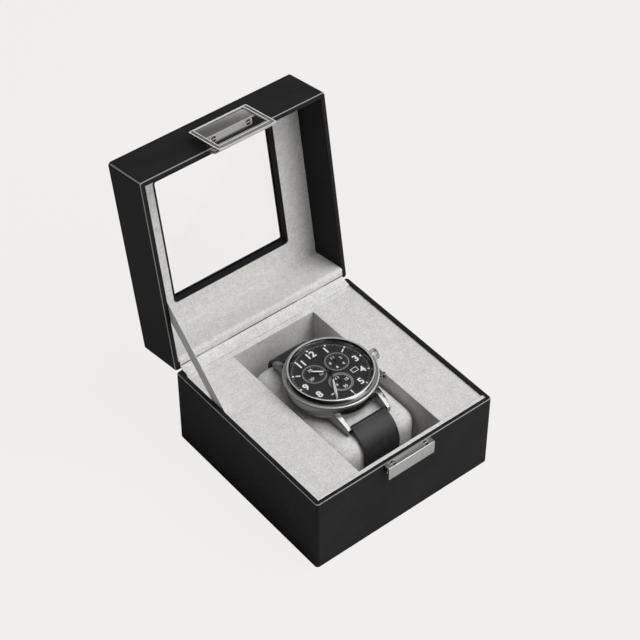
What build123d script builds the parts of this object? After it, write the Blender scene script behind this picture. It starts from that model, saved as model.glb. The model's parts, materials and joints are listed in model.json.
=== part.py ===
from build123d import *

import os
from math import cos, radians, sin, sqrt, tan

# A display box for one wristwatch, with the watch strapped round its cushion.
# Millimetres. X runs along the front from left to right, Y runs from the front to the hinged back, and Z is up
# from the middle of the underside. The lid is drawn in its own plane, lid_plane, whose origin is on the hinge
# axis, so that one angle opens it: there (x, d, h) are the width, the depth and the height from the hinge.

# ---------------------------------------------------------------- driving dimensions
box_width = 100.0  # outside, left to right
box_depth = 101.0  # outside, front to back
base_height = 42.0  # underside to rim
lid_height = 25.0  # lid's rim to its flat top
lid_open_angle = 99.6  # where the ribbon stay stops the lid
rim_gap = 0.2  # between the rims when the lid is shut

leather = 0.4  # leatherette skin
board = 1.6  # side and front walls
back_board = 4.1  # thicker back walls, which take the hinges
floor_board = 2.0
lid_board = 3.5  # top panel of the lid
bottom_sheet = 0.6
skin_lift = 0.3  # the skin's lower edge above the table
corner_round = 1.6  # upright edges
rim_round = 0.5  # edges of the boards under the skin

lining_board = 2.0  # suede-covered strip inside the front wall
shelf_board = 1.6  # suede-covered boards of the insert
shelf_drop = 1.0  # shelf below the rim
well_width = 46.4  # bay for the cushion
back_shelf = 3.0  # shelf behind the bay, up to the carcass
well_floor_board = 1.2
suede = 0.5
play = 0.1  # between glued pieces that are cut separately

window_size = 64.0  # clear opening of the lid's window, square
window_corner = 1.0
bezel_corner = 2.0
window_shift = -1.5  # the window's middle, in y
pane_thickness = 1.5
pane_lap = 3.5  # the glass beyond the clear opening, each side
lid_lining_board = 1.2
lid_back_lining_board = 1.5
pad_flange = 3.5  # flat edge outside the padded roll
pad_margin = 3.0  # flat edge between the roll and the window
pad_rise = 2.3

hinge_length = 16.0
hinge_spacing = 56.0
knuckle_radius = 1.2
hinge_pin_radius = 0.45
leaf_width = 3.9
leaf_thickness = 0.6
running_fit = 0.05  # radial, for pins that turn
bed_gap = 0.15  # round the hinges, in the boards

hasp_depth = 4.3  # how far the hasp's plate stands out of the lid's front
keeper_depth = 3.5  # how far the keeper stands out of the base's front
clasp_plate = 0.8
clasp_width = 26.0  # keeper and hasp plate
flange_width = 22.6  # the hasp's screwed flange
keeper_drop = 7.0  # the keeper's front below the rim
hasp_lift = 2.2  # the hasp's flange above the lid's rim
ring_width = 31.0
ring_bar = 2.3
ring_top_bar = 1.05
ring_low_bar = 3.4
ring_thickness = 0.9
ring_gap = 0.1  # between the ring and the keeper
ring_rise = 2.4  # the ring's top edge above its pin
ring_drop = 20.4  # its lower edge below its pin
ring_rest_tilt = 1.0  # stands off by this much, so that its lip clears the keeper
clasp_pin_radius = 0.6
roll_radius = 1.2  # the hasp's plate rolled round the pin
clasp_pin_rise = 7.3  # the pin above the hasp's flange
clasp_screw_spacing = 18.6
clasp_screw_shank = 0.7
clasp_countersink = 90.0
leaf_countersink = 90.0

cushion_width = 45.0
cushion_depth = 68.0
cushion_lift = 7.2  # the cushion above the bay's floor, where the strap passes under it
cushion_drop = 4.5  # the cushion's top below the rim

watch_y = 1.5  # the watch's middle
case_radius = 21.4
case_height = 8.5
bezel_radius = 21.6
bezel_height = 3.7
crystal_radius = 19.0
lug_reach = 27.0  # lug tips from the watch's middle
bar_reach = 26.0  # spring bars from the watch's middle
bar_rise = 2.3  # spring bars above the cushion's top
strap_width = 20.0
strap_end_width = 18.0
strap_thickness = 2.0
strap_reach = 35.9  # the strap's upright front run from the watch's middle

# ---------------------------------------------------------------- derived
front_y = -box_depth / 2
back_y = box_depth / 2
core_top = base_height - leather
floor_top = bottom_sheet + floor_board
tray_half_width = box_width / 2 - leather - board
inner_half_width = tray_half_width - leather
tray_front = front_y + leather + board
tray_back = back_y - leather - back_board
tray_depth = tray_back - tray_front
tray_middle = (tray_front + tray_back) / 2
shelf_top = base_height - shelf_drop
lining_back = tray_front + lining_board
well_back = tray_back - back_shelf
well_half = well_width / 2
cushion_low = floor_top + well_floor_board + cushion_lift
cushion_top = base_height - cushion_drop

hinge_y = back_y
hinge_z = base_height + rim_gap / 2
lid_up = (0, sin(radians(lid_open_angle)), cos(radians(lid_open_angle)))
lid_plane = Plane(origin=(0, hinge_y, hinge_z), x_dir=(1, 0, 0), z_dir=lid_up)
lid_side = Plane(origin=lid_plane.origin, x_dir=lid_plane.y_dir, z_dir=(1, 0, 0))
base_hinge_plane = Plane(origin=(0, hinge_y, hinge_z))

lid_rim = rim_gap / 2
lid_top = lid_rim + lid_height
lid_core_top = lid_top - leather
lid_core_rim = lid_rim + leather
lid_ceiling = lid_core_top - lid_board
lid_front_inside = -box_depth + leather + board
lid_back_inside = -leather - back_board
lid_inner_front = lid_front_inside + leather
lid_middle = -box_depth / 2
window_d = lid_middle + window_shift
pane_size = window_size + 2 * pane_lap
bezel_rim = 1.0
bezel_size = window_size + 2 * bezel_rim
lining_low = lid_ceiling - lid_lining_board
lining_inside = lid_back_inside - lid_back_lining_board

clasp_x = clasp_screw_spacing / 2
clasp_half = clasp_width / 2
clasp_screw_head = clasp_screw_shank + clasp_plate * tan(radians(clasp_countersink / 2))
clasp_pin_depth = hasp_depth - roll_radius
flange_low = lid_rim + hasp_lift
clasp_pin_height = flange_low + clasp_pin_rise
front_plane = Plane(origin=(0, front_y, 0), x_dir=(1, 0, 0), z_dir=(0, -1, 0))
lid_front_plane = Plane(
    origin=lid_plane.from_local_coords((0, -box_depth, 0)), x_dir=(1, 0, 0), z_dir=-lid_plane.y_dir
)
ring_pivot = lid_plane.from_local_coords((0, -box_depth - clasp_pin_depth, clasp_pin_height))
ring_face = Plane(origin=ring_pivot, x_dir=(1, 0, 0), z_dir=-lid_plane.y_dir).rotated((-ring_rest_tilt, 0, 0))
ring_side = Plane(origin=ring_pivot, x_dir=ring_face.z_dir, z_dir=(-1, 0, 0))
ring_back = keeper_depth + ring_gap - clasp_pin_depth

hinge_places = [-hinge_spacing / 2, hinge_spacing / 2]

os.makedirs("parts", exist_ok=True)


# ---------------------------------------------------------------- shapes that more than one piece needs
def cut_hinge_beds(plane, side):
    """Sink the two hinges into a back wall's rim: side is -1 for the base, which lies below the hinge axis, and
    1 for the lid."""
    bed_length = hinge_length + 2 * bed_gap
    bed_height = rim_gap / 2 + bed_gap + leaf_thickness
    with Locations(plane):
        with Locations([(x, -leaf_width / 2 - bed_gap / 2, side * bed_height / 2) for x in hinge_places]):
            Box(bed_length, leaf_width + bed_gap, bed_height, mode=Mode.SUBTRACT)
        with Locations([(x, 0, 0) for x in hinge_places]):
            Cylinder(knuckle_radius + bed_gap, bed_length, rotation=(0, 90, 0), mode=Mode.SUBTRACT)


def leaf_screw_spots(plane, height):
    """The eight places, two to a leaf, of the screws that hold the hinge leaves."""
    step = hinge_length / 2 - leaf_screw_inset
    return [
        plane.from_local_coords((x + side * step, -(leaf_width + knuckle_radius) / 2, height))
        for x in hinge_places
        for side in (-1, 1)
    ]


# ================================================================ BASE
# The board block that both the carcass and its skin are cut from.
with BuildPart() as base_block:
    with BuildSketch(Plane.XY.offset(bottom_sheet)):
        RectangleRounded(box_width - 2 * leather, box_depth - 2 * leather, corner_round - leather)
    extrude(amount=core_top - bottom_sheet)
    fillet(base_block.faces().sort_by(Axis.Z)[-1].edges(), rim_round)

# Carcass: a board tray, glued up, with a thick back wall for the hinges.
leaf_head = 1.0
leaf_screw_radius = 0.45
leaf_screw_length = 3.6
leaf_screw_inset = 2.6  # from a leaf's end
rivet_radius = 0.8
rivet_x = 4.5
rivet_places = [(-rivet_x, base_height - 3.4), (rivet_x, base_height - 3.4)]
lid_rivet_places = [(-rivet_x, flange_low + 3.6), (rivet_x, flange_low + 3.6)]
with BuildPart() as base_core:
    add(base_block.part)
    with BuildSketch(Plane.XY.offset(floor_top)):
        with Locations((0, tray_middle)):
            Rectangle(2 * tray_half_width, tray_depth)
    extrude(amount=base_height, mode=Mode.SUBTRACT)
    cut_hinge_beds(base_hinge_plane, -1)
    leaf_bed_z = -rim_gap / 2 - bed_gap - leaf_thickness
    with Locations([Location(p) for p in leaf_screw_spots(base_hinge_plane, leaf_bed_z)]):
        Cylinder(leaf_screw_radius, 2 * leaf_screw_length, mode=Mode.SUBTRACT)
    with BuildSketch(front_plane):
        with Locations(rivet_places):
            Circle(rivet_radius)
    extrude(amount=-(leather + board), mode=Mode.SUBTRACT)
base_core.part.label = "base_core"
export_step(base_core.part, "parts/base_core.step")

# Skin: leatherette over the outside and the rim, turned in down both side walls.
turn_in = 12.0
with BuildPart() as base_wrap:
    with BuildSketch(Plane.XY.offset(skin_lift)):
        RectangleRounded(box_width, box_depth, corner_round)
    extrude(amount=base_height - skin_lift)
    fillet(base_wrap.faces().sort_by(Axis.Z)[-1].edges(), rim_round + leather)
    with BuildSketch(Plane.XY.offset(skin_lift)):
        RectangleRounded(box_width - 2 * leather, box_depth - 2 * leather, corner_round - leather)
    extrude(amount=bottom_sheet - skin_lift, mode=Mode.SUBTRACT)
    add(base_block.part, mode=Mode.SUBTRACT)
    with BuildSketch(Plane.XY.offset(core_top - leather)):
        with Locations((0, tray_middle)):
            Rectangle(2 * inner_half_width, tray_depth)
    extrude(amount=3 * leather, mode=Mode.SUBTRACT)
    with BuildSketch(Plane.XY.offset(core_top - turn_in)):
        with Locations((inner_half_width + leather / 2, tray_middle), (-inner_half_width - leather / 2, tray_middle)):
            Rectangle(leather, tray_depth)
    extrude(amount=turn_in)
    cut_hinge_beds(base_hinge_plane, -1)
    with BuildSketch(front_plane):
        with Locations(rivet_places):
            Circle(rivet_radius)
    extrude(amount=-leather, mode=Mode.SUBTRACT)
base_wrap.part.label = "base_wrap"
export_step(base_wrap.part, "parts/base_wrap.step")

# Underside: one sheet glued over the turned-under skin, which the box stands on.
with BuildPart() as base_bottom:
    with BuildSketch():
        sheet_inset = leather + play
        RectangleRounded(box_width - 2 * sheet_inset, box_depth - 2 * sheet_inset, corner_round - leather)
    extrude(amount=bottom_sheet)
base_bottom.part.label = "base_bottom"
export_step(base_bottom.part, "parts/base_bottom.step")

# Front lining: an upright suede-covered board inside the front wall, as high as the rim.
board_edge = 0.4  # rounding of a covered board's edge
with BuildPart() as front_lining:
    with BuildSketch(Plane.XY.offset(floor_top)):
        with Locations((0, (tray_front + lining_back) / 2)):
            Rectangle(2 * inner_half_width, lining_board)
    extrude(amount=base_height - floor_top)
    fillet(front_lining.faces().sort_by(Axis.Z)[-1].edges().filter_by(Axis.X), board_edge)
front_lining.part.label = "front_lining"
export_step(front_lining.part, "parts/front_lining.step")

# Side shelves: two boxed channels of suede-covered board that leave the bay between them.
shelf_run = well_back - play - lining_back
shelf_middle = (well_back - play + lining_back) / 2
ribbon_width = 6.4
ribbon_thickness = 0.4
ribbon_base_reach = 29.5  # from the hinge to where the ribbon leaves the shelf
ribbon_tuck = 6.0
ribbon_notch_length = 16.0
ribbon_notch_shift = 2.5  # forward of where the ribbon leaves the shelf
ribbon_notch_depth = 6.5


def shelf_channel(side):
    """Cross-section of a side shelf: top board, bay wall and outer leg. side is -1 on the left, 1 on the right."""
    outer = inner_half_width
    wide = outer - well_half
    tall = shelf_top - floor_top
    middle = side * (outer + well_half) / 2
    with Locations((middle, floor_top + tall / 2)):
        Rectangle(wide, tall)
    with Locations((middle, floor_top + (tall - shelf_board) / 2)):
        Rectangle(wide - 2 * shelf_board, tall - shelf_board, mode=Mode.SUBTRACT)


section_plane = Plane.XZ.offset(-shelf_middle)
with BuildPart() as shelf_left:
    with BuildSketch(section_plane):
        shelf_channel(-1)
    extrude(amount=shelf_run / 2, both=True)
    fillet(shelf_left.edges().filter_by(Axis.Y).sort_by(Axis.Z)[-2:].sort_by(Axis.X)[-1], board_edge)
    with Locations((-inner_half_width, hinge_y - ribbon_base_reach - ribbon_notch_shift, shelf_top)):
        Box(2 * (ribbon_thickness + play), ribbon_notch_length, 2 * ribbon_notch_depth, mode=Mode.SUBTRACT)
shelf_left.part.label = "shelf_left"
export_step(shelf_left.part, "parts/shelf_left.step")

with BuildPart() as shelf_right:
    with BuildSketch(section_plane):
        shelf_channel(1)
    extrude(amount=shelf_run / 2, both=True)
    fillet(shelf_right.edges().filter_by(Axis.Y).sort_by(Axis.Z)[-2:].sort_by(Axis.X)[0], board_edge)
shelf_right.part.label = "shelf_right"
export_step(shelf_right.part, "parts/shelf_right.step")

# Back strip: closes the bay at the back and leaves a slot for the hem of the hinge strip.
with BuildPart() as shelf_back:
    with BuildSketch(Plane.YZ):
        with BuildLine():
            Polyline(
                (well_back, floor_top),
                (well_back, shelf_top),
                (tray_back - suede, shelf_top),
                (tray_back - suede, shelf_top - shelf_board),
                (well_back + shelf_board, shelf_top - shelf_board),
                (well_back + shelf_board, floor_top),
                close=True,
            )
        make_face()
    extrude(amount=inner_half_width, both=True)
shelf_back.part.label = "shelf_back"
export_step(shelf_back.part, "parts/shelf_back.step")

# Floor of the bay.
well_run = well_back - lining_back
with BuildPart() as well_floor:
    with BuildSketch(Plane.XY.offset(floor_top)):
        with Locations((0, lining_back + well_run / 2)):
            Rectangle(well_width, well_run)
    extrude(amount=well_floor_board)
well_floor.part.label = "well_floor"
export_step(well_floor.part, "parts/well_floor.step")

# ================================================================ HINGES
# Butt hinges: the base leaf carries the two outer knuckles and the lid leaf the middle one.
knuckle_length = (hinge_length - 2 * bed_gap) / 3
outer_knuckle = knuckle_length + bed_gap
leaf_top = -rim_gap / 2 - play / 2


def hinge_leaf(plane, side, knuckle_steps, foreign_steps):
    """One leaf of each hinge. It is cut clear of the other leaf's knuckles, rolled round the pin and drilled."""
    with Locations(plane):
        for x in hinge_places:
            with Locations((x, -leaf_width / 2, side * (-leaf_top + leaf_thickness / 2))):
                Box(hinge_length, leaf_width, leaf_thickness)
            with Locations([(x + step, 0, 0) for step in foreign_steps]):
                clear = knuckle_length + 2 * bed_gap
                Cylinder(knuckle_radius + bed_gap, clear, rotation=(0, 90, 0), mode=Mode.SUBTRACT)
            with Locations([(x + step, 0, 0) for step in knuckle_steps]):
                Cylinder(knuckle_radius, knuckle_length, rotation=(0, 90, 0))


outer_steps = [-outer_knuckle, outer_knuckle]
with BuildPart() as hinge_leaves_base:
    hinge_leaf(base_hinge_plane, -1, outer_steps, [0])
    with Locations(base_hinge_plane):
        with Locations([(x, 0, 0) for x in hinge_places]):
            Cylinder(hinge_pin_radius, 2 * hinge_length, rotation=(0, 90, 0), mode=Mode.SUBTRACT)
    with Locations([Location(p) for p in leaf_screw_spots(base_hinge_plane, leaf_top)]):
        CounterSinkHole(leaf_screw_radius, leaf_head, 4 * leaf_thickness, leaf_countersink)
hinge_leaves_base.part.label = "hinge_leaves_base"
export_step(hinge_leaves_base.part, "parts/hinge_leaves_base.step")

with BuildPart() as hinge_leaves_lid:
    hinge_leaf(lid_plane, 1, [0], outer_steps)
    with Locations(lid_plane):
        with Locations([(x, 0, 0) for x in hinge_places]):
            Cylinder(hinge_pin_radius + running_fit, 2 * hinge_length, rotation=(0, 90, 0), mode=Mode.SUBTRACT)
    for spot in leaf_screw_spots(lid_plane, -leaf_top):
        with Locations(Plane(origin=spot, x_dir=(1, 0, 0), z_dir=-lid_plane.z_dir)):
            CounterSinkHole(leaf_screw_radius, leaf_head, 4 * leaf_thickness, leaf_countersink)
hinge_leaves_lid.part.label = "hinge_leaves_lid"
export_step(hinge_leaves_lid.part, "parts/hinge_leaves_lid.step")

with BuildPart() as hinge_pins:
    with Locations(base_hinge_plane):
        with Locations([(x, 0, 0) for x in hinge_places]):
            Cylinder(hinge_pin_radius, hinge_length, rotation=(0, 90, 0))
hinge_pins.part.label = "hinge_pins"
export_step(hinge_pins.part, "parts/hinge_pins.step")

screw_slot_width = 0.4
screw_slot_depth = 0.35


def countersunk_screw(plane, head, shank, length, angle):
    """A countersunk screw whose flat head lies in the plane and whose shank goes down from it."""
    head_height = (head - shank) / tan(radians(angle / 2))
    with BuildSketch(Plane(origin=plane.origin, x_dir=plane.x_dir, z_dir=-plane.y_dir)) as half:
        with BuildLine():
            Polyline(
                (0, 0), (head, 0), (shank, -head_height), (shank, -length), (0, -length - shank), close=True
            )
        make_face()
    revolve(half.sketch, axis=Axis(plane.origin, plane.z_dir))


def screw_slot(plane, head):
    """The driver slot across a screw's head."""
    with Locations(plane):
        Box(2 * head, screw_slot_width, 2 * screw_slot_depth, mode=Mode.SUBTRACT)


with BuildPart() as hinge_screws_base:
    for spot in leaf_screw_spots(base_hinge_plane, leaf_top):
        countersunk_screw(Plane(origin=spot), leaf_head, leaf_screw_radius, leaf_screw_length, leaf_countersink)
hinge_screws_base.part.label = "hinge_screws_base"
export_step(hinge_screws_base.part, "parts/hinge_screws_base.step")

with BuildPart() as hinge_screws_lid:
    for spot in leaf_screw_spots(lid_plane, -leaf_top):
        screw_plane = Plane(origin=spot, x_dir=(1, 0, 0), z_dir=-lid_plane.z_dir)
        countersunk_screw(screw_plane, leaf_head, leaf_screw_radius, leaf_screw_length, leaf_countersink)
hinge_screws_lid.part.label = "hinge_screws_lid"
export_step(hinge_screws_lid.part, "parts/hinge_screws_lid.step")

# ================================================================ LID
lid_axis = Axis(lid_plane.origin, lid_plane.z_dir)
with BuildPart() as lid_block:
    with BuildSketch(lid_plane.offset(lid_core_rim)):
        with Locations((0, lid_middle)):
            RectangleRounded(box_width - 2 * leather, box_depth - 2 * leather, corner_round - leather)
    extrude(amount=lid_core_top - lid_core_rim)
    fillet(lid_block.faces().sort_by(lid_axis)[-1].edges(), rim_round)
    fillet(lid_block.faces().sort_by(lid_axis)[0].edges(), rim_round)

# Carcass: four walls and a top panel with the window cut out and a step for the glass.
lid_tray_depth = lid_back_inside - lid_front_inside
lid_tray_middle = (lid_back_inside + lid_front_inside) / 2
with BuildPart() as lid_core:
    add(lid_block.part)
    with BuildSketch(lid_plane):
        with Locations((0, lid_tray_middle)):
            Rectangle(2 * tray_half_width, lid_tray_depth)
    extrude(amount=lid_ceiling, mode=Mode.SUBTRACT)
    with BuildSketch(lid_plane.offset(lid_ceiling)):
        with Locations((0, window_d)):
            RectangleRounded(bezel_size, bezel_size, bezel_corner)
    extrude(amount=lid_board, mode=Mode.SUBTRACT)
    with BuildSketch(lid_plane.offset(lid_core_top - pane_thickness)):
        with Locations((0, window_d)):
            RectangleRounded(pane_size, pane_size, bezel_corner)
    extrude(amount=pane_thickness, mode=Mode.SUBTRACT)
    cut_hinge_beds(lid_plane, 1)
    leaf_bed_h = rim_gap / 2 + bed_gap + leaf_thickness
    for spot in leaf_screw_spots(lid_plane, leaf_bed_h):
        with Locations(Plane(origin=spot, x_dir=(1, 0, 0), z_dir=lid_plane.z_dir)):
            Cylinder(leaf_screw_radius, 2 * leaf_screw_length, mode=Mode.SUBTRACT)
    with BuildSketch(lid_front_plane):
        with Locations(lid_rivet_places):
            Circle(rivet_radius)
    extrude(amount=-(leather + board), mode=Mode.SUBTRACT)
lid_core.part.label = "lid_core"
export_step(lid_core.part, "parts/lid_core.step")

# Skin: leatherette over the outside and the rim and down the inside of the front and side walls. The top sheet is
# turned down over the walls, and its edge leaves a fine seam all round.
seam_drop = 1.9
seam_width = 0.25
seam_depth = 0.2
with BuildPart() as lid_wrap:
    with BuildSketch(lid_plane.offset(lid_rim)):
        with Locations((0, lid_middle)):
            RectangleRounded(box_width, box_depth, corner_round)
    extrude(amount=lid_height)
    fillet(lid_wrap.faces().sort_by(lid_axis)[-1].edges(), rim_round + leather)
    fillet(lid_wrap.faces().sort_by(lid_axis)[0].edges(), rim_round + leather)
    add(lid_block.part, mode=Mode.SUBTRACT)
    with BuildSketch(lid_plane.offset(lid_core_rim)):
        with Locations((0, lid_tray_middle)):
            Rectangle(2 * tray_half_width, lid_tray_depth)
    extrude(amount=lid_ceiling - lid_core_rim)
    with BuildSketch(lid_plane):
        with Locations((0, (lid_inner_front + lid_back_inside) / 2)):
            Rectangle(2 * inner_half_width, lid_back_inside - lid_inner_front)
    extrude(amount=lid_ceiling, mode=Mode.SUBTRACT)
    with BuildSketch(lid_plane.offset(lid_core_top)):
        with Locations((0, window_d)):
            RectangleRounded(window_size, window_size, window_corner)
    extrude(amount=2 * leather, mode=Mode.SUBTRACT)
    with BuildSketch(lid_plane.offset(lid_top - seam_drop)):
        with Locations((0, lid_middle)):
            Rectangle(2 * box_width, 2 * box_depth)
            RectangleRounded(
                box_width - 2 * seam_depth, box_depth - 2 * seam_depth, corner_round - seam_depth, mode=Mode.SUBTRACT
            )
    extrude(amount=seam_width, mode=Mode.SUBTRACT)
    cut_hinge_beds(lid_plane, 1)
    with BuildSketch(lid_front_plane):
        with Locations(lid_rivet_places):
            Circle(rivet_radius)
    extrude(amount=-leather, mode=Mode.SUBTRACT)
lid_wrap.part.label = "lid_wrap"
export_step(lid_wrap.part, "parts/lid_wrap.step")

# Padded roll: a leather-covered foam bead that runs round the window.
pad_outer = box_width - 2 * pad_flange
pad_outer_depth = box_depth - 2 * pad_flange
pad_inner = window_size + 2 * pad_margin
pad_width = (pad_outer - pad_inner) / 2
pad_path_width = pad_outer - pad_width
pad_path_depth = pad_outer_depth - pad_width
pad_plane = lid_plane.offset(lid_top)
pad_start = pad_plane.from_local_coords((0, lid_middle - pad_path_depth / 2, 0))
with BuildSketch(pad_plane) as pad_path:
    with Locations((0, lid_middle)):
        RectangleRounded(pad_path_width, pad_path_depth, pad_width / 2 + 1)
with BuildPart() as lid_pad:
    with BuildSketch(Plane(origin=pad_start, x_dir=lid_plane.y_dir, z_dir=(1, 0, 0))):
        Ellipse(pad_width / 2, pad_rise)
        with Locations((0, -pad_rise / 2)):
            Rectangle(pad_width, pad_rise, mode=Mode.SUBTRACT)
    sweep(path=pad_path.sketch.wires()[0])
lid_pad.part.label = "lid_pad"
export_step(lid_pad.part, "parts/lid_pad.step")

# Glass, in its step under the skin.
with BuildPart() as window_pane:
    with BuildSketch(lid_plane.offset(lid_core_top - pane_thickness)):
        with Locations((0, window_d)):
            RectangleRounded(pane_size - 2 * play, pane_size - 2 * play, bezel_corner - play)
    extrude(amount=pane_thickness)
window_pane.part.label = "window_pane"
export_step(window_pane.part, "parts/window_pane.step")

# Black reveal: a leather-covered frame that holds the glass from inside.
with BuildPart() as window_bezel:
    with BuildSketch(lid_plane.offset(lining_low)):
        with Locations((0, window_d)):
            RectangleRounded(bezel_size, bezel_size, bezel_corner)
            RectangleRounded(window_size, window_size, window_corner, mode=Mode.SUBTRACT)
    extrude(amount=lid_core_top - pane_thickness - lining_low)
window_bezel.part.label = "window_bezel"
export_step(window_bezel.part, "parts/window_bezel.step")

# Lining of the lid: a suede-covered frame under the top panel and a suede-covered board up the back wall.
with BuildPart() as lid_lining:
    with BuildSketch(lid_plane.offset(lining_low)):
        with Locations((0, (lid_inner_front + lid_back_inside) / 2)):
            Rectangle(2 * inner_half_width, lid_back_inside - lid_inner_front)
        with Locations((0, window_d)):
            RectangleRounded(bezel_size, bezel_size, bezel_corner, mode=Mode.SUBTRACT)
    extrude(amount=lid_lining_board)
lid_lining.part.label = "lid_lining"
export_step(lid_lining.part, "parts/lid_lining.step")

lining_round = 1.2
with BuildPart() as lid_back_lining:
    with BuildSketch(lid_side) as back_lining_section:
        with Locations(((lining_inside + lid_back_inside) / 2, (lid_rim + lining_low) / 2)):
            Rectangle(lid_back_lining_board, lining_low - lid_rim)
        fillet(back_lining_section.vertices().group_by(Axis.Y)[0].sort_by(Axis.X)[0], lining_round)
    extrude(amount=inner_half_width, both=True)
lid_back_lining.part.label = "lid_back_lining"
export_step(lid_back_lining.part, "parts/lid_back_lining.step")

# ================================================================ SOFT JOINTS ACROSS THE HINGE LINE
# Suede strip: tucked down behind the back shelf, over the base's rim, up the lid's rim and onto its lining.
strip_half_width = inner_half_width - 0.6
strip_tuck = 1.4  # below the shelves' top
strip_lap = 3.5  # up the lid's back board
strip_middle = suede / 2


def on_lid_side(d, h):
    """The (y, z) of a point of the lid, given by its depth and height from the hinge."""
    point = lid_plane.from_local_coords((0, d, h))
    return (point.Y, point.Z)


barrel_cover = knuckle_radius + strip_middle + play
edge_bend = lining_round + strip_middle
edge_d = lining_inside + lining_round
edge_h = lid_rim + lining_round
slant = sqrt(0.5)
with BuildPart() as hinge_strip:
    with BuildSketch(Plane.YZ):
        with BuildLine():
            Polyline(
                (tray_back - strip_middle, shelf_top - strip_tuck),
                (tray_back - strip_middle, base_height + strip_middle),
                (hinge_y - barrel_cover, base_height + strip_middle),
            )
            over_barrel = ThreePointArc(
                (hinge_y - barrel_cover, base_height + strip_middle),
                (hinge_y - slant * barrel_cover, hinge_z + slant * barrel_cover),
                on_lid_side(-barrel_cover, lid_rim - strip_middle),
            )
            Line(over_barrel @ 1, on_lid_side(edge_d, lid_rim - strip_middle))
            over_edge = ThreePointArc(
                on_lid_side(edge_d, edge_h - edge_bend),
                on_lid_side(edge_d - slant * edge_bend, edge_h - slant * edge_bend),
                on_lid_side(edge_d - edge_bend, edge_h),
            )
            Line(over_edge @ 1, on_lid_side(edge_d - edge_bend, edge_h + strip_lap))
            offset(amount=strip_middle, side=Side.BOTH)
        make_face()
    extrude(amount=strip_half_width, both=True)
hinge_strip.part.label = "hinge_strip"
export_step(hinge_strip.part, "parts/hinge_strip.step")

# Ribbon stay: from under the left shelf's edge to the inside of the lid's left wall, taut when the lid is open.
ribbon_lid_reach = 33.1  # from the hinge to where it meets the lid's rim
ribbon_base = (hinge_y - ribbon_base_reach, shelf_top)
ribbon_lid_rise = 0.6  # above the lid's rim
ribbon_lid = on_lid_side(-ribbon_lid_reach, lid_rim + ribbon_lid_rise)
ribbon_glued = 8.0
ribbon_run = sqrt((ribbon_lid[0] - ribbon_base[0]) ** 2 + (ribbon_lid[1] - ribbon_base[1]) ** 2)
ribbon_along = Vector(0, ribbon_lid[0] - ribbon_base[0], ribbon_lid[1] - ribbon_base[1]).normalized()
ribbon_start = Vector(-inner_half_width, *ribbon_base) - ribbon_along * ribbon_tuck
with BuildPart() as ribbon:
    with BuildSketch(Plane(origin=ribbon_start, x_dir=ribbon_along, z_dir=(1, 0, 0))):
        Rectangle(ribbon_tuck + ribbon_run + ribbon_glued, ribbon_width, align=(Align.MIN, Align.CENTER))
    extrude(amount=ribbon_thickness)
ribbon.part.label = "ribbon"
export_step(ribbon.part, "parts/ribbon.step")

# ================================================================ CLASP
boss_height = 4.0
boss_width = 4.4
clasp_screw_length = 4.4
backplate_inset = 1.2
backplate_height = 5.4
fold_round = 0.4
rivet_head = 1.5
rivet_head_height = 0.5


def rivets(plane, places):
    """Two rivets through a front wall and a backplate, with flat heads on the plate."""
    with BuildSketch(plane.offset(-(leather + board))) as shanks:
        with Locations(places):
            Circle(rivet_radius)
    extrude(shanks.sketch, amount=leather + board + clasp_plate)
    with BuildSketch(plane.offset(clasp_plate)) as heads:
        with Locations(places):
            Circle(rivet_head)
    extrude(heads.sketch, amount=rivet_head_height)


# Keeper: an angle plate over the front of the rim, open behind.
keeper_side = Plane(origin=(0, front_y, base_height), x_dir=(0, -1, 0), z_dir=(-1, 0, 0))
keeper_boss = keeper_depth - clasp_plate - play
keeper_screw_spots = [(x, front_y - keeper_depth / 2, base_height) for x in (-clasp_x, clasp_x)]
with BuildPart() as keeper_plate:
    with BuildSketch(keeper_side) as keeper_section:
        with BuildLine():
            Polyline(
                (0, 0),
                (keeper_depth, 0),
                (keeper_depth, -keeper_drop),
                (keeper_depth - clasp_plate, -keeper_drop),
                (keeper_depth - clasp_plate, -clasp_plate),
                (0, -clasp_plate),
                close=True,
            )
        make_face()
        fillet(keeper_section.vertices().group_by(Axis.Y)[-1].sort_by(Axis.X)[-1], fold_round)
    extrude(amount=clasp_half, both=True)
    for spot in keeper_screw_spots:
        with Locations(Plane(origin=spot)):
            CounterSinkHole(
                clasp_screw_shank, clasp_screw_head, depth=2 * clasp_plate, counter_sink_angle=clasp_countersink
            )
keeper_plate.part.label = "keeper_plate"
export_step(keeper_plate.part, "parts/keeper_plate.step")

# Keeper's backplate: riveted to the wall, with two tapped bosses for the screws.
with BuildPart() as keeper_backplate:
    with BuildSketch(keeper_side):
        with Locations((clasp_plate / 2, -clasp_plate - backplate_height / 2)):
            Rectangle(clasp_plate, backplate_height)
    extrude(amount=clasp_half - backplate_inset, both=True)
    with Locations([(x, front_y - keeper_boss / 2, base_height - clasp_plate - boss_height / 2)
                    for x in (-clasp_x, clasp_x)]):
        Box(boss_width, keeper_boss, boss_height)
    with Locations([Location(spot) for spot in keeper_screw_spots]):
        Cylinder(clasp_screw_shank, 3 * clasp_screw_length, mode=Mode.SUBTRACT)
    with BuildSketch(front_plane):
        with Locations(rivet_places):
            Circle(rivet_radius)
    extrude(amount=clasp_plate, mode=Mode.SUBTRACT)
keeper_backplate.part.label = "keeper_backplate"
export_step(keeper_backplate.part, "parts/keeper_backplate.step")

with BuildPart() as keeper_screws:
    for spot in keeper_screw_spots:
        screw_plane = Plane(origin=spot)
        countersunk_screw(screw_plane, clasp_screw_head, clasp_screw_shank, clasp_screw_length, clasp_countersink)
        screw_slot(screw_plane, clasp_screw_head)
keeper_screws.part.label = "keeper_screws"
export_step(keeper_screws.part, "parts/keeper_screws.step")

with BuildPart() as keeper_rivets:
    rivets(front_plane, rivet_places)
keeper_rivets.part.label = "keeper_rivets"
export_step(keeper_rivets.part, "parts/keeper_rivets.step")

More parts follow.
